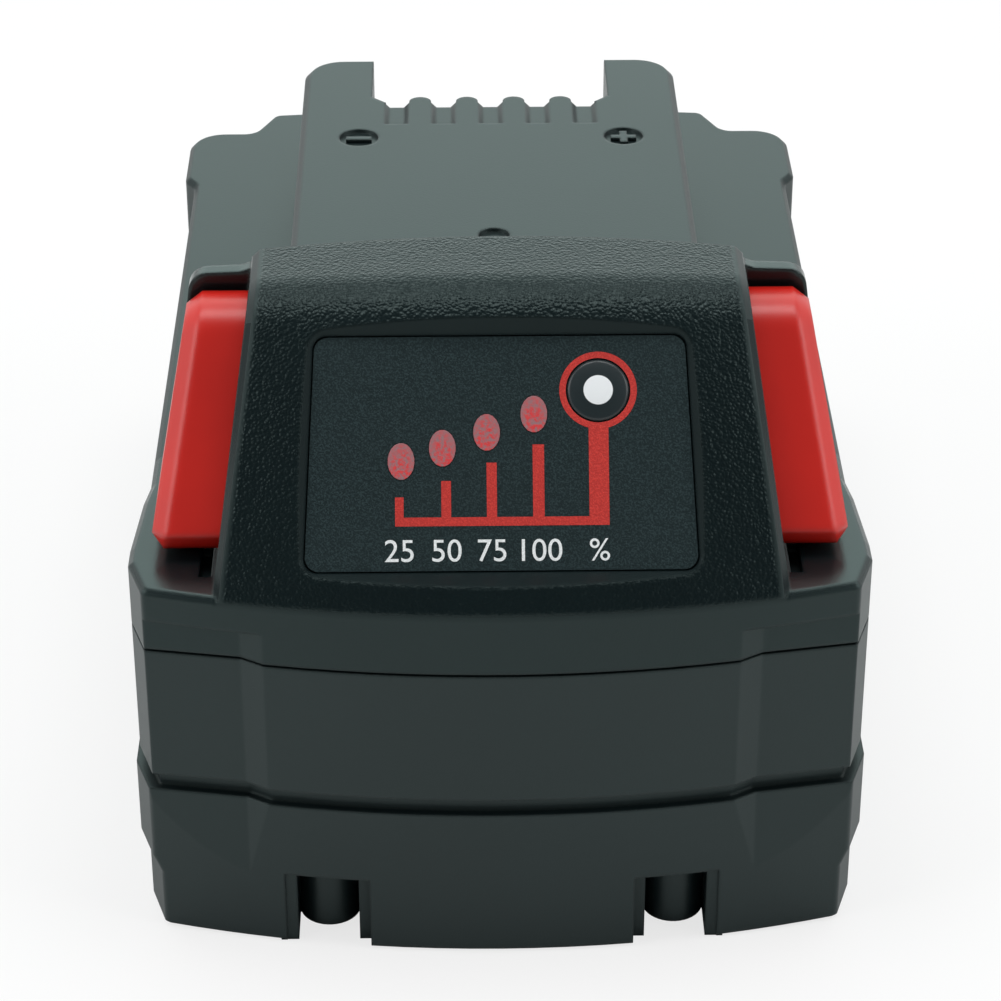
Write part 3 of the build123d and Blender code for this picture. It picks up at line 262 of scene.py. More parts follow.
def makeUpperNylon():
    material, tree, shader, place = startMaterial(
        "nylon_spark_eroded", upperNylon["colour"], upperNylon["roughness"],
        tint=upperNylon["tint"], level=upperNylon["level"],
    )
    mask, smooth, beside = reliefMask(tree, place)
    # pebbles with creases between them, pulled about by a slower noise
    drift = addNode(
        tree, "ShaderNodeTexNoise",
        {"Vector": place, "Scale": perMetre(upperNylon["driftScale"]), "Detail": 2.0},
    )
    drift = addNode(
        tree, "ShaderNodeVectorMath", {0: drift.outputs["Color"], "Scale": upperNylon["drift"] * mm},
        operation="SCALE",
    )
    moved = addNode(
        tree, "ShaderNodeVectorMath", {0: place, 1: drift.outputs["Vector"]}, operation="ADD",
    ).outputs["Vector"]
    pebbles = addNode(tree, "ShaderNodeTexVoronoi", {
        "Vector": moved, "Scale": perMetre(upperNylon["pebble"]),
        "Smoothness": upperNylon["pebbleSoft"], "Randomness": 1.0,
    }, feature="SMOOTH_F1").outputs["Distance"]
    pebbles = addNode(
        tree, "ShaderNodeMath", {0: upperNylon["pebbleTop"], 1: pebbles}, operation="SUBTRACT",
    ).outputs[0]
    relief = addNode(
        tree, "ShaderNodeMath", {0: pebbles, 1: upperNylon["pebbleDepth"]}, operation="MULTIPLY",
    ).outputs[0]
    relief = addNode(tree, "ShaderNodeMath", {0: relief, 1: mask}, operation="MULTIPLY").outputs[0]
    grain = addNode(
        tree, "ShaderNodeTexNoise",
        {"Vector": place, "Scale": perMetre(upperNylon["grain"]), "Detail": 1.0},
    ).outputs[0]
    height = addNode(
        tree, "ShaderNodeMath", {0: grain, 1: upperNylon["grainDepth"], 2: relief},
        operation="MULTIPLY_ADD",
    ).outputs[0]
    rounded = addNode(tree, "ShaderNodeBevel", {"Radius": upperNylon["edge"] * mm}, samples=4).outputs[0]
    bump = addNode(
        tree, "ShaderNodeBump", {"Height": height, "Distance": mm, "Strength": 1.0, "Normal": rounded},
    )
    tree.links.new(bump.outputs[0], shader.inputs["Normal"])
    # the pebbles are burnished, so they glint
    rough = addNode(tree, "ShaderNodeMapRange", {
        "Value": mask, "To Min": upperNylon["roughness"], "To Max": upperNylon["pebbleGloss"],
    }).outputs[0]
    rough = addNode(
        tree, "ShaderNodeMix", {"Factor": smooth, "A": rough, "B": upperNylon["polished"]},
        data_type="FLOAT",
    )
    tree.links.new(rough.outputs["Result"], shader.inputs["Roughness"])
    level = addNode(tree, "ShaderNodeMapRange", {
        "Value": mask, "To Min": upperNylon["level"], "To Max": upperNylon["pebbleLevel"],
    }).outputs[0]
    polished = addNode(tree, "ShaderNodeMapRange", {
        "Value": beside, "To Min": upperNylon["pocketLevel"], "To Max": upperNylon["shelfLevel"],
    }).outputs[0]
    level = addNode(tree, "ShaderNodeMix", {"Factor": smooth, "A": level, "B": polished}, data_type="FLOAT")
    tree.links.new(level.outputs["Result"], shader.inputs["Specular IOR Level"])
    # faint clouds of lighter tone where hands have rubbed it
    cloud = addNode(
        tree, "ShaderNodeTexNoise",
        {"Vector": place, "Scale": perMetre(upperNylon["cloud"]), "Detail": 3.0},
    ).outputs[0]
    cloud = addNode(tree, "ShaderNodeMapRange", {
        "Value": cloud, "From Min": upperNylon["cloudFrom"], "From Max": upperNylon["cloudFull"],
        "To Max": upperNylon["cloudShare"],
    }).outputs[0]
    tone = addNode(tree, "ShaderNodeMix", {
        "Factor": cloud, "A": hexColour(upperNylon["colour"]), "B": hexColour(upperNylon["worn"]),
    }, data_type="RGBA")
    tree.links.new(tone.outputs["Result"], shader.inputs["Base Color"])
    return material


# The same nylon, moulded in a finely blasted tool: an even satin black on the lower case
lowerNylon = {
    "colour": "#0d1618", "worn": "#131e20", "tint": "#e2f9f6", "roughness": 0.42,
    "grain": 0.24, "grainDepth": 0.011, "edge": 0.5,
    "cloud": 22.0, "cloudFrom": 0.45, "cloudFull": 0.75, "cloudShare": 0.3,
}


def makeLowerNylon():
    material, tree, shader, place = startMaterial(
        "nylon_blasted", lowerNylon["colour"], lowerNylon["roughness"], tint=lowerNylon["tint"],
    )
    grain = addNode(
        tree, "ShaderNodeTexNoise",
        {"Vector": place, "Scale": perMetre(lowerNylon["grain"]), "Detail": 1.0},
    ).outputs[0]
    height = addNode(
        tree, "ShaderNodeMath", {0: grain, 1: lowerNylon["grainDepth"]}, operation="MULTIPLY",
    ).outputs[0]
    rounded = addNode(tree, "ShaderNodeBevel", {"Radius": lowerNylon["edge"] * mm}, samples=4).outputs[0]
    bump = addNode(tree, "ShaderNodeBump", {"Height": height, "Distance": mm, "Normal": rounded})
    tree.links.new(bump.outputs[0], shader.inputs["Normal"])
    cloud = addNode(
        tree, "ShaderNodeTexNoise",
        {"Vector": place, "Scale": perMetre(lowerNylon["cloud"]), "Detail": 3.0},
    ).outputs[0]
    cloud = addNode(tree, "ShaderNodeMapRange", {
        "Value": cloud, "From Min": lowerNylon["cloudFrom"], "From Max": lowerNylon["cloudFull"],
        "To Max": lowerNylon["cloudShare"],
    }).outputs[0]
    tone = addNode(tree, "ShaderNodeMix", {
        "Factor": cloud, "A": hexColour(lowerNylon["colour"]), "B": hexColour(lowerNylon["worn"]),
    }, data_type="RGBA")
    tree.links.new(tone.outputs["Result"], shader.inputs["Base Color"])
    return material


# Red ABS, moulded in a satin tool: strong colour with soft highlights on its bevels
releaseRed = {
    "colour": "#cf2015", "deep": "#b8180f", "flow": 9.0, "roughness": 0.33, "ior": 1.54,
    "grain": 0.3, "grainDepth": 0.004, "edge": 1.2,
}


def makeReleaseRed():
    material, tree, shader, place = startMaterial(
        "abs_satin_red", releaseRed["colour"], releaseRed["roughness"], ior=releaseRed["ior"],
    )
    grain = addNode(
        tree, "ShaderNodeTexNoise",
        {"Vector": place, "Scale": perMetre(releaseRed["grain"]), "Detail": 1.0},
    ).outputs[0]
    height = addNode(
        tree, "ShaderNodeMath", {0: grain, 1: releaseRed["grainDepth"]}, operation="MULTIPLY",
    ).outputs[0]
    rounded = addNode(tree, "ShaderNodeBevel", {"Radius": releaseRed["edge"] * mm}, samples=8).outputs[0]
    bump = addNode(tree, "ShaderNodeBump", {"Height": height, "Distance": mm, "Normal": rounded})
    tree.links.new(bump.outputs[0], shader.inputs["Normal"])
    flow = addNode(
        tree, "ShaderNodeTexNoise", {"Vector": place, "Scale": perMetre(releaseRed["flow"]), "Detail": 2.0},
    ).outputs[0]
    tone = addNode(tree, "ShaderNodeMix", {
        "Factor": flow, "A": hexColour(releaseRed["deep"]), "B": hexColour(releaseRed["colour"]),
    }, data_type="RGBA")
    tree.links.new(tone.outputs["Result"], shader.inputs["Base Color"])
    return material


# Polycarbonate film with an embossed grain: dull black that glitters slightly
labelFilm = {
    "colour": "#0a1315", "speck": "#222e30", "tint": "#c4e4e8", "roughness": 0.44, "ior": 1.58,
    "grain": 0.19, "grainDepth": 0.05, "speckFrom": 0.46, "speckFull": 0.62,
}


def makeGrainedFilm(name, colour, speck, roughness, tint="#ffffff"):
    material, tree, shader, place = startMaterial(name, colour, roughness, ior=labelFilm["ior"], tint=tint)
    grain = addNode(
        tree, "ShaderNodeTexNoise", {"Vector": place, "Scale": perMetre(labelFilm["grain"]), "Detail": 2.0},
    ).outputs[0]
    height = addNode(
        tree, "ShaderNodeMath", {0: grain, 1: labelFilm["grainDepth"]}, operation="MULTIPLY",
    ).outputs[0]
    bump = addNode(tree, "ShaderNodeBump", {"Height": height, "Distance": mm})
    tree.links.new(bump.outputs[0], shader.inputs["Normal"])
    fleck = addNode(tree, "ShaderNodeMapRange", {
        "Value": grain, "From Min": labelFilm["speckFrom"], "From Max": labelFilm["speckFull"],
    }).outputs[0]
    tone = addNode(
        tree, "ShaderNodeMix", {"Factor": fleck, "A": hexColour(colour), "B": hexColour(speck)},
        data_type="RGBA",
    )
    tree.links.new(tone.outputs["Result"], shader.inputs["Base Color"])
    return material


# Acrylic light windows, cast cloudy: pinkish red with milky flecks
windowAcrylic = {
    "colour": "#c9383a", "milk": "#8f6a6e", "roughness": 0.45, "ior": 1.49, "relief": 0.01,
    "fleck": 0.35, "fleckFrom": 0.38, "fleckFull": 0.62,
    "rim": 0.3,                            # how red the rim is left
    "rimOuter": 0.52, "rimInner": 0.3,     # where it lies from the middle, as shares of the width
}


def makeWindowAcrylic():
    material, tree, shader, place = startMaterial(
        "acrylic_cloudy", windowAcrylic["colour"], windowAcrylic["roughness"], ior=windowAcrylic["ior"],
    )
    fleck = addNode(
        tree, "ShaderNodeTexNoise",
        {"Vector": place, "Scale": perMetre(windowAcrylic["fleck"]), "Detail": 3.0},
    ).outputs[0]
    fleck = addNode(tree, "ShaderNodeMapRange", {
        "Value": fleck, "From Min": windowAcrylic["fleckFrom"], "From Max": windowAcrylic["fleckFull"],
    }).outputs[0]
    # the light pipe behind reddens the middle of each window, and the rim stays milky
    whole = addNode(tree, "ShaderNodeTexCoord").outputs["Generated"]
    whole = addNode(
        tree, "ShaderNodeVectorMath", {0: whole, 1: (1.0, 0.0, 1.0)}, operation="MULTIPLY",
    ).outputs["Vector"]
    away = addNode(
        tree, "ShaderNodeVectorMath", {0: whole, 1: (0.5, 0.0, 0.5)}, operation="DISTANCE",
    ).outputs["Value"]
    middle = addNode(tree, "ShaderNodeMapRange", {
        "Value": away, "From Min": windowAcrylic["rimOuter"], "From Max": windowAcrylic["rimInner"],
        "To Min": windowAcrylic["rim"], "To Max": 1.0,
    }).outputs[0]
    fleck = addNode(tree, "ShaderNodeMath", {0: fleck, 1: middle}, operation="MULTIPLY").outputs[0]
    tone = addNode(tree, "ShaderNodeMix", {
        "Factor": fleck, "A": hexColour(windowAcrylic["milk"]), "B": hexColour(windowAcrylic["colour"]),
    }, data_type="RGBA")
    tree.links.new(tone.outputs["Result"], shader.inputs["Base Color"])
    bump = addNode(tree, "ShaderNodeBump", {"Height": fleck, "Distance": windowAcrylic["relief"] * mm})
    tree.links.new(bump.outputs[0], shader.inputs["Normal"])
    return material


# Black ABS button cap, polished, with a white dot printed on it
gaugeCap = {
    "colour": "#172326", "dot": "#e6eaec", "dotFade": 0.03, "roughness": 0.34,
    "grain": 0.22, "grainDepth": 0.006,
    "x": 10.35, "v": 19.0, "radius": 3.25, "dotRadius": 1.55, "proud": 0.45, "dome": 0.42,
    "flangeRadius": 3.9, "flangeTop": -0.6, "flangeBottom": -1.4, "stemRadius": 1.1, "tip": -3.07,
    "segments": 64, "rings": 10,
}


def makeCapPlastic():
    material, tree, shader, place = startMaterial(
        "abs_polished_black", gaugeCap["colour"], gaugeCap["roughness"],
    )
    centre = onLabel(gaugeCap["x"], gaugeCap["v"])
    away = addNode(
        tree, "ShaderNodeVectorMath", {0: place, 1: tuple(centre)}, operation="SUBTRACT",
    ).outputs["Vector"]
    along = addNode(
        tree, "ShaderNodeVectorMath", {0: away, 1: tuple(slopeOut)}, operation="DOT_PRODUCT",
    ).outputs["Value"]
    lift = addNode(
        tree, "ShaderNodeVectorMath", {0: tuple(slopeOut), "Scale": along}, operation="SCALE",
    ).outputs["Vector"]
    flat = addNode(tree, "ShaderNodeVectorMath", {0: away, 1: lift}, operation="SUBTRACT").outputs["Vector"]
    radius = addNode(tree, "ShaderNodeVectorMath", {0: flat}, operation="LENGTH").outputs["Value"]
    dot = addNode(tree, "ShaderNodeMapRange", {
        "Value": radius,
        "From Min": (gaugeCap["dotRadius"] + gaugeCap["dotFade"]) * mm,
        "From Max": (gaugeCap["dotRadius"] - gaugeCap["dotFade"]) * mm,
    }).outputs[0]
    tone = addNode(tree, "ShaderNodeMix", {
        "Factor": dot, "A": hexColour(gaugeCap["colour"]), "B": hexColour(gaugeCap["dot"]),
    }, data_type="RGBA")
    tree.links.new(tone.outputs["Result"], shader.inputs["Base Color"])
    grain = addNode(
        tree, "ShaderNodeTexNoise", {"Vector": place, "Scale": perMetre(gaugeCap["grain"]), "Detail": 1.0},
    ).outputs[0]
    bump = addNode(tree, "ShaderNodeBump", {"Height": grain, "Distance": gaugeCap["grainDepth"] * mm})
    tree.links.new(bump.outputs[0], shader.inputs["Normal"])
    return material


# Plain materials of what is inside, each with the marks of how it is made
inner = {
    # name: (colour, second colour, roughness, metallic, mm between marks, depth of marks in mm)
    "steel_zinc_plated": ("#b9bcbd", "#9fa3a6", 0.32, 1.0, 0.5, 0.004),
    "nickel_rolled": ("#c2beb2", "#aaa598", 0.35, 1.0, 0.8, 0.003),
    "copper_tinned": ("#c9c4b8", "#b6ad9a", 0.3, 1.0, 0.6, 0.003),
    "epoxy_glass_green": ("#12563a", "#1b6b49", 0.4, 0.0, 1.2, 0.006),
    "pvc_shrunk_teal": ("#1f6f86", "#2a829b", 0.3, 0.0, 6.0, 0.03),
    "abs_moulded_grey": ("#8d9291", "#9da2a0", 0.5, 0.0, 0.4, 0.008),
    "paper_pressed_grey": ("#9aa59a", "#86917f", 0.8, 0.0, 0.3, 0.02),
    "epoxy_moulded_black": ("#17191a", "#202324", 0.45, 0.0, 0.25, 0.006),
    "nylon_moulded_white": ("#dcdad0", "#cfccc0", 0.45, 0.0, 0.3, 0.006),
    "nylon_moulded_black": ("#1a1d1e", "#232728", 0.45, 0.0, 0.3, 0.006),
}


def makeInner(name):
    first, second, roughness, metallic, marks, depth = inner[name]
    material, tree, shader, place = startMaterial(name, first, roughness, metallic=metallic)
    mark = addNode(
        tree, "ShaderNodeTexNoise", {"Vector": place, "Scale": perMetre(marks), "Detail": 3.0},
    ).outputs[0]
    tone = addNode(
        tree, "ShaderNodeMix", {"Factor": mark, "A": hexColour(first), "B": hexColour(second)},
        data_type="RGBA",
    )
    tree.links.new(tone.outputs["Result"], shader.inputs["Base Color"])
    bump = addNode(tree, "ShaderNodeBump", {"Height": mark, "Distance": depth * mm})
    tree.links.new(bump.outputs[0], shader.inputs["Normal"])
    return material


upper = makeUpperNylon()
paint(upper, "top_case")
paint(makeLowerNylon(), "lower_case")
paint(makeReleaseRed(), "left_release_button", "right_release_button")
film = makeGrainedFilm(
    "polycarbonate_embossed",
    labelFilm["colour"], labelFilm["speck"], labelFilm["roughness"], labelFilm["tint"],
)
paint(film, "gauge_label")
acrylic = makeWindowAcrylic()
paint(acrylic, *[f"gauge_window_{i}" for i in range(1, 5)])
made = {name: makeInner(name) for name in inner}
paint(made["steel_zinc_plated"], "left_latch", "right_latch", "left_latch_spring", "right_latch_spring")
paint(made["steel_zinc_plated"], "case_screws")
paint(made["nickel_rolled"], "positive_lead", "negative_lead", *[f"cell_strip_{i}" for i in range(1, 7)])
paint(made["copper_tinned"], *[f"terminal_{i}" for i in range(1, 6)])
paint(made["epoxy_glass_green"], "main_board", "gauge_board")
paint(made["pvc_shrunk_teal"], *[f"cell_{i}" for i in range(1, 11)])
paint(made["abs_moulded_grey"], "left_cell_holder", "right_cell_holder")
paint(made["paper_pressed_grey"], "left_insulator", "right_insulator")
paint(made["epoxy_moulded_black"], "power_transistors", "gauge_switch", "gauge_ribbon")
paint(made["nylon_moulded_white"], "board_connector", "gauge_leds")
paint(made["nylon_moulded_black"], "terminal_block")
print("materials made")

# Red and white screen-printed ink on the label: opaque, sharp-edged, following the film's grain
ink = {"red": "#ae1f17", "redSpeck": "#c42e24", "white": "#d9dedf", "whiteSpeck": "#e9edee", "roughness": 0.5}
redInk = makeGrainedFilm("ink_red_printed", ink["red"], ink["redSpeck"], ink["roughness"])
whiteInk = makeGrainedFilm("ink_white_printed", ink["white"], ink["whiteSpeck"], ink["roughness"])

gaugePrint = {
    "thickness": 0.02,
    "left": -11.16, "right": 11.4, "low": 4.73, "high": 5.66,
    "bars": [(-11.16, -10.26, 7.8), (-6.28, -5.26, 9.5), (-1.5, -0.43, 11.4), (3.37, 4.58, 13.3)],
    "stem": (9.3, 11.4), "stemSteps": 8,
    "ringOuter": 4.1, "ringInner": 3.42, "ringSteps": 72,
    "numbers": ["25", "50", "75", "100", "%"], "numberHeight": 2.35, "numberFoot": 1.0,
    "capitalShare": 0.7,   # how much of a font's size its capitals take
}


def addGaugePrint():
    p = gaugePrint
    centre = (gaugeCap["x"], gaugeCap["v"])
    # the comb, anticlockwise from its lower left corner, with the stem's top on the ring
    outline = [(p["left"], p["low"]), (p["right"], p["low"])]
    for step in range(p["stemSteps"] + 1):
        x = p["stem"][1] + (p["stem"][0] - p["stem"][1]) * step / p["stemSteps"]
        outline.append((x, centre[1] - math.sqrt(p["ringOuter"] ** 2 - (x - centre[0]) ** 2)))
    outline.append((p["stem"][0], p["high"]))
    for left, right, top in reversed(p["bars"]):
        outline += [(right, p["high"]), (right, top), (left, top), (left, p["high"])]
    outline.pop()   # the first bar's foot lies on the comb's own left edge
    flatPiece("gauge_print_comb", [outline], 0.0, p["thickness"], onLabel, redInk, "case")
    steps = p["ringSteps"]
    points, faces = [], []
    for step in range(steps):
        angle = math.tau * step / steps
        inner, outer, top = p["ringInner"], p["ringOuter"], p["thickness"]
        for radius, out in ((inner, 0.0), (outer, 0.0), (outer, top), (inner, top)):
            x, v = radius * math.cos(angle), radius * math.sin(angle)
            points.append(onLabel(centre[0] + x, centre[1] + v, out))
        here, there = step * 4, (step + 1) % steps * 4
        for a in range(4):
            b = (a + 1) % 4
            faces.append((here + a, here + b, there + b, there + a))
    meshPiece("gauge_print_ring", points, faces, redInk, "case")
    places = [(left + right) / 2 for left, right, top in p["bars"]] + [sum(p["stem"]) / 2]
    for x, number in zip(places, p["numbers"]):
        name = "gauge_number_" + number.replace("%", "percent")
        curve = bpy.data.curves.new(name, "FONT")
        curve.body = number
        curve.align_x = "CENTER"
        curve.size = p["numberHeight"] * mm / p["capitalShare"]
        curve.extrude = p["thickness"] / 2 * mm
        text = bpy.data.objects.new("text", curve)
        bpy.context.scene.collection.objects.link(text)
        bpy.context.view_layer.update()
        mesh = bpy.data.meshes.new_from_object(text)
        bpy.data.objects.remove(text)
        axes = Matrix((Vector((1, 0, 0)), slopeUp, slopeOut)).transposed().to_4x4()
        mesh.transform(Matrix.Translation(onLabel(x, p["numberFoot"], p["thickness"] / 2)) @ axes)
        mesh.name = name
        piece = bpy.data.objects.new(name, mesh)
        bpy.context.scene.collection.objects.link(piece)
        mesh.materials.clear()
        mesh.materials.append(whiteInk)
        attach(piece, "case")


addGaugePrint()
print("gauge print made")


def addGaugeCap():
    # turned shape of the button: dome, rim, flange and stem
    c = gaugeCap
    ball = (c["radius"] ** 2 + c["dome"] ** 2) / (2 * c["dome"])
    profile = []
    for ring in range(1, c["rings"] + 1):
        r = c["radius"] * ring / c["rings"]
        profile.append((r, c["proud"] - ball + math.sqrt(ball ** 2 - r ** 2)))
    profile += [(c["radius"], c["flangeTop"]), (c["flangeRadius"], c["flangeTop"])]
    profile.append((c["flangeRadius"], c["flangeBottom"]))
    profile += [(c["stemRadius"], c["flangeBottom"]), (c["stemRadius"], c["tip"])]
    count = c["segments"]
    points, faces = [], []
    for r, out in profile:
        for step in range(count):
            angle = math.tau * step / count
            points.append(onLabel(c["x"] + r * math.cos(angle), c["v"] + r * math.sin(angle), out))
    points += [onLabel(c["x"], c["v"], c["proud"]), onLabel(c["x"], c["v"], c["tip"])]
    top, bottom = len(points) - 2, len(points) - 1
    last = (len(profile) - 1) * count
    for step in range(count):
        after = (step + 1) % count
        faces.append((top, step, after))
        for ring in range(len(profile) - 1):
            a, b = ring * count, (ring + 1) * count
            faces.append((a + step, b + step, b + after, a + after))
        faces.append((last + step, bottom, last + after))
    piece = meshPiece("gauge_cap", points, faces, makeCapPlastic(), "gauge_press", smooth=True)
    # smooth only where it stands out of the label
    for polygon in piece.data.polygons:
        corners = [piece.data.vertices[v].co - onLabel(c["x"], c["v"], 0) for v in polygon.vertices]
        polygon.use_smooth = min(corner.dot(slopeOut) for corner in corners) > 0
    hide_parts("gauge_button")


addGaugeCap()
print("gauge cap made")

# Latch springs, coiled from round wire with closed ends, which the buttons squeeze as they go in; each coil
# is built once, at the length of its spring's box
latchSpring = {"wire": 0.3, "turns": 5, "endPitch": 0.66, "turnSteps": 28, "sides": 10}


def addLatchSpring(side, name):
    s = latchSpring
    low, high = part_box(name)
    middle = (low + high) / 2
    wire = s["wire"] * mm
    radius = (high.z - low.z) / 2 - wire
    inner = min(abs(low.x), abs(high.x)) + wire
    length = high.x - low.x - 2 * wire
    closed = s["endPitch"] * mm
    pitch = (length - 2 * closed) / (s["turns"] - 2)
    count = s["turns"] * s["turnSteps"]
    points, faces = [], []
    for step in range(count + 1):
        turn = step / s["turnSteps"]
        # one closed turn at each end, the open ones between them
        openTurns = min(max(turn - 1, 0), s["turns"] - 2)
        along = (min(turn, 1) + max(turn - s["turns"] + 1, 0)) * closed + openTurns * pitch
        angle = math.tau * turn
        radial = Vector((0, math.cos(angle), math.sin(angle)))
        rise = closed if turn < 1 or turn > s["turns"] - 1 else pitch
        around = radius * math.tau
        tangent = Vector((side * rise, -around * math.sin(angle), around * math.cos(angle))).normalized()
        across = tangent.cross(radial)
        centre = Vector((side * (inner + along), middle.y, middle.z)) + radial * radius
        for corner in range(s["sides"]):
            spin = math.tau * corner / s["sides"]
            points.append(centre + (radial * math.cos(spin) + across * math.sin(spin)) * wire)
    for step in range(count):
        here, there = step * s["sides"], (step + 1) * s["sides"]
        for corner in range(s["sides"]):
            after = (corner + 1) % s["sides"]
            faces.append((here + corner, here + after, there + after, there + corner))
    faces.append(tuple(range(s["sides"])))
    faces.append(tuple(range(count * s["sides"], (count + 1) * s["sides"])))
    piece = meshPiece(name + "_coil", points, faces, made["steel_zinc_plated"], smooth=True)
    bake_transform(piece)
    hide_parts(name)


addLatchSpring(-1, "left_latch_spring")
addLatchSpring(1, "right_latch_spring")
print("latch springs made")

# Polarity signs moulded in the round marks on the rail
polarity = {"x": 16.65, "y": 26.6, "floor": 57.1, "rise": 0.45, "arm": 1.6, "width": 0.95}


def addPolarity():
    s = polarity
    half, arm = s["width"] / 2, s["arm"]
    plus = [
        (-half, -arm), (half, -arm), (half, -half), (arm, -half), (arm, half), (half, half),
        (half, arm), (-half, arm), (-half, half), (-arm, half), (-arm, -half), (-half, -half),
    ]
    minus = [(-arm, -half), (arm, -half), (arm, half), (-arm, half)]
    for name, outline, side in (("polarity_plus", plus, 1), ("polarity_minus", minus, -1)):
        flatPiece(
            name, [outline], 0.0, s["rise"],
            lambda x, y, out, side=side: Vector((side * s["x"] + x, s["y"] + y, s["floor"] + out)) * mm,
            upper, "case",
        )


addPolarity()
print("polarity signs made")

# Seamless white paper, matt: the table and what is behind it
studio = {
    "paper": "#e0e0e0",
    "paperRoughness": 0.9,
    "fibre": 0.8,           # mm between the fibres of the paper, and their height
    "fibreHeight": 0.01,
    "lift": 0.75,           # how far the camera's view of the paper is burnt out to white
    "floorSize": 8.0,       # metres
    "floorDrop": 0.02,      # mm below the base, so that the two planes never share a level
    "front": 0.18,          # level of the room on the camera's side, which the leaning face mirrors
    "rest": 0.85,           # level of the rest of the room
    "back": 1.85,           # a lit wall behind the table, which the flat tops mirror
    "wall": "#effffc",      # its colour
    "darkTo": (0.0, -0.755, 0.656),          # the way to the dark side, and its edge as cosines
    "darkFrom": 0.35, "darkFull": 0.9,
    "brightTo": (0.0, 0.857, 0.515),         # the same for the lit wall
    "brightFrom": 0.76, "brightFull": 0.95,
}


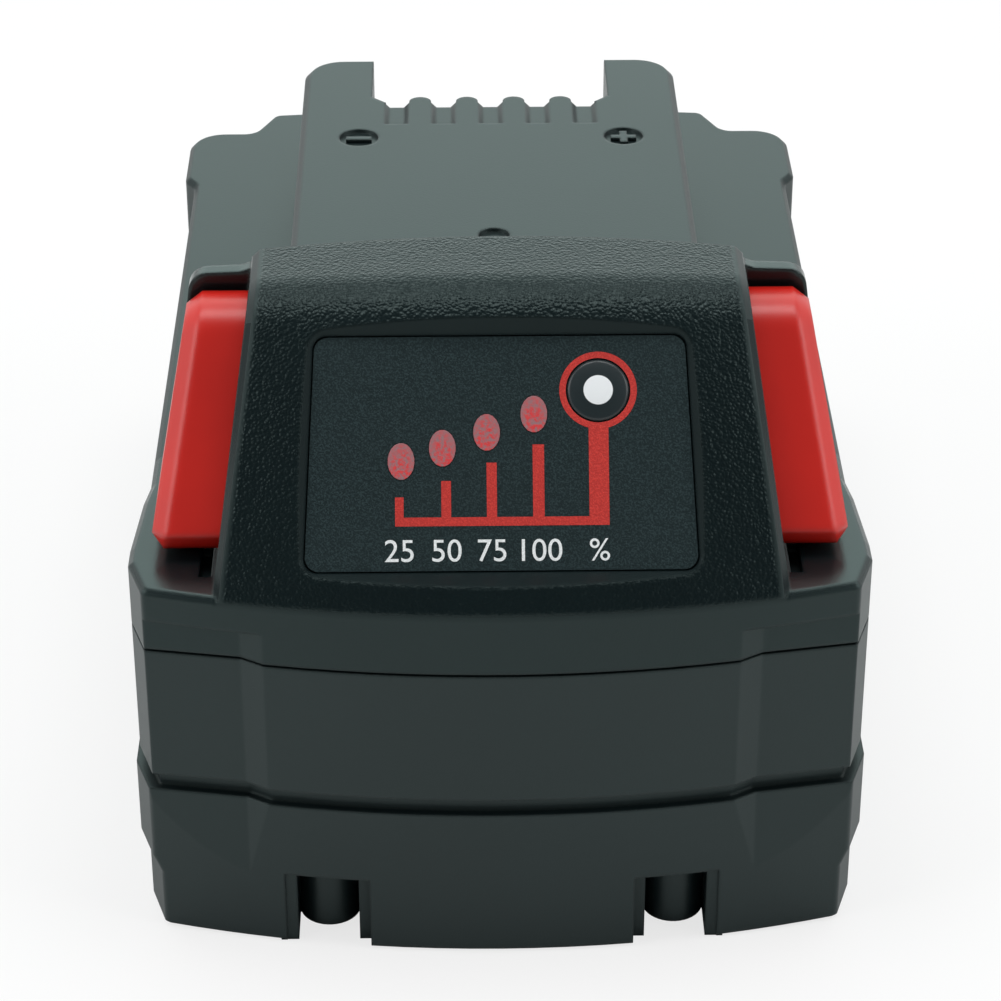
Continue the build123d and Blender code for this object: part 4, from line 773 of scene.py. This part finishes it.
def addStudio():
    half = studio["floorSize"] / 2
    mesh = bpy.data.meshes.new("floor")
    level = -studio["floorDrop"] * mm
    corners = [(-half, -half, level), (half, -half, level), (half, half, level), (-half, half, level)]
    mesh.from_pydata(corners, [], [(0, 1, 2, 3)])
    floor = bpy.data.objects.new("floor", mesh)
    bpy.context.scene.collection.objects.link(floor)
    material, tree, shader, place = startMaterial(
        "paper_seamless_white", studio["paper"], studio["paperRoughness"],
    )
    fibre = addNode(
        tree, "ShaderNodeTexNoise", {"Vector": place, "Scale": perMetre(studio["fibre"]), "Detail": 2.0},
    ).outputs[0]
    bump = addNode(tree, "ShaderNodeBump", {"Height": fibre, "Distance": studio["fibreHeight"] * mm})
    tree.links.new(bump.outputs[0], shader.inputs["Normal"])
    # overexposed in the picture, with its shadows left faint
    seen = addNode(tree, "ShaderNodeLightPath").outputs["Is Camera Ray"]
    white = addNode(tree, "ShaderNodeEmission", {"Color": hexColour("#ffffff"), "Strength": 1.0}).outputs[0]
    lift = addNode(tree, "ShaderNodeMath", {0: seen, 1: studio["lift"]}, operation="MULTIPLY").outputs[0]
    both = addNode(tree, "ShaderNodeMixShader", {0: lift, 1: shader.outputs[0], 2: white}).outputs[0]
    tree.links.new(both, tree.nodes["Material Output"].inputs["Surface"])
    mesh.materials.append(material)
    world = bpy.data.worlds.new("studio")
    bpy.context.scene.world = world
    world.use_nodes = True
    tree = world.node_tree
    way = addNode(tree, "ShaderNodeTexCoord").outputs["Generated"]
    toward = addNode(
        tree, "ShaderNodeVectorMath", {0: way, 1: studio["darkTo"]}, operation="DOT_PRODUCT",
    ).outputs["Value"]
    level = addNode(tree, "ShaderNodeMapRange", {
        "Value": toward, "From Min": studio["darkFrom"], "From Max": studio["darkFull"],
        "To Min": studio["rest"], "To Max": studio["front"],
    }, interpolation_type="SMOOTHSTEP").outputs[0]
    toward = addNode(
        tree, "ShaderNodeVectorMath", {0: way, 1: studio["brightTo"]}, operation="DOT_PRODUCT",
    ).outputs["Value"]
    lit = addNode(tree, "ShaderNodeMapRange", {
        "Value": toward, "From Min": studio["brightFrom"], "From Max": studio["brightFull"],
    }, interpolation_type="SMOOTHSTEP").outputs[0]
    level = addNode(
        tree, "ShaderNodeMath", {0: lit, 1: studio["back"] - studio["rest"], 2: level},
        operation="MULTIPLY_ADD",
    ).outputs[0]
    # what the camera sees past the table is plain white
    seen = addNode(tree, "ShaderNodeLightPath").outputs["Is Camera Ray"]
    level = addNode(
        tree, "ShaderNodeMix", {"Factor": seen, "A": level, "B": 1.0}, data_type="FLOAT",
    ).outputs["Result"]
    unseen = addNode(tree, "ShaderNodeMath", {0: 1.0, 1: seen}, operation="SUBTRACT").outputs[0]
    lit = addNode(tree, "ShaderNodeMath", {0: lit, 1: unseen}, operation="MULTIPLY").outputs[0]
    colour = addNode(tree, "ShaderNodeMix", {
        "Factor": lit, "A": hexColour("#ffffff"), "B": hexColour(studio["wall"]),
    }, data_type="RGBA")
    sky = tree.nodes["Background"]
    tree.links.new(colour.outputs["Result"], sky.inputs["Color"])
    tree.links.new(level, sky.inputs["Strength"])


# Softboxes: place, what they face, size in metres and power in watts
lamps = {
    "overLeft": ((-0.34, 0.06, 1.4), (0.0, 0.0, 0.04), 0.5, 4.8),
    "overRight": ((0.34, 0.06, 1.4), (0.0, 0.0, 0.04), 0.5, 4.8),
    "left": ((-1.2, -0.35, 0.8), (0.0, 0.0, 0.04), 0.8, 5.4),
    "right": ((1.2, -0.35, 0.8), (0.0, 0.0, 0.04), 0.8, 5.4),
}


def addLamps():
    for name, (place, target, size, power) in lamps.items():
        lamp = bpy.data.lights.new(name, "AREA")
        lamp.shape = "SQUARE"
        lamp.size = size
        lamp.energy = power
        light = bpy.data.objects.new(name, lamp)
        light.location = place
        light.rotation_euler = (Vector(target) - Vector(place)).to_track_quat("-Z", "Y").to_euler()
        bpy.context.scene.collection.objects.link(light)


# Where the photograph was taken from, in millimetres and degrees
viewpoint = {
    "place": (-4.42, -355.98, 234.09), "down": 31.0, "turn": 0.832, "roll": 0.045,
    "lens": 119.71, "sensor": 36.0, "nearest": 10.0,
}


def addCamera():
    down, turn, roll = (math.radians(viewpoint[k]) for k in ("down", "turn", "roll"))
    ahead = Vector((math.sin(turn) * math.cos(down), math.cos(turn) * math.cos(down), -math.sin(down)))
    right = Vector((math.cos(turn), -math.sin(turn), 0))
    below = ahead.cross(right)
    across = right * math.cos(roll) + below * math.sin(roll)
    below = below * math.cos(roll) - right * math.sin(roll)
    camera = bpy.data.cameras.new("camera")
    camera.lens = viewpoint["lens"]
    camera.sensor_width = viewpoint["sensor"]
    camera.clip_start = viewpoint["nearest"] * mm
    holder = bpy.data.objects.new("camera", camera)
    turned = Matrix((across, -below, -ahead)).transposed().to_4x4()
    holder.matrix_world = Matrix.Translation(Vector(viewpoint["place"]) * mm) @ turned
    bpy.context.scene.collection.objects.link(holder)
    bpy.context.scene.camera = holder


addStudio()
addLamps()
addCamera()
bpy.context.scene.view_settings.view_transform = "Standard"
print("studio made")
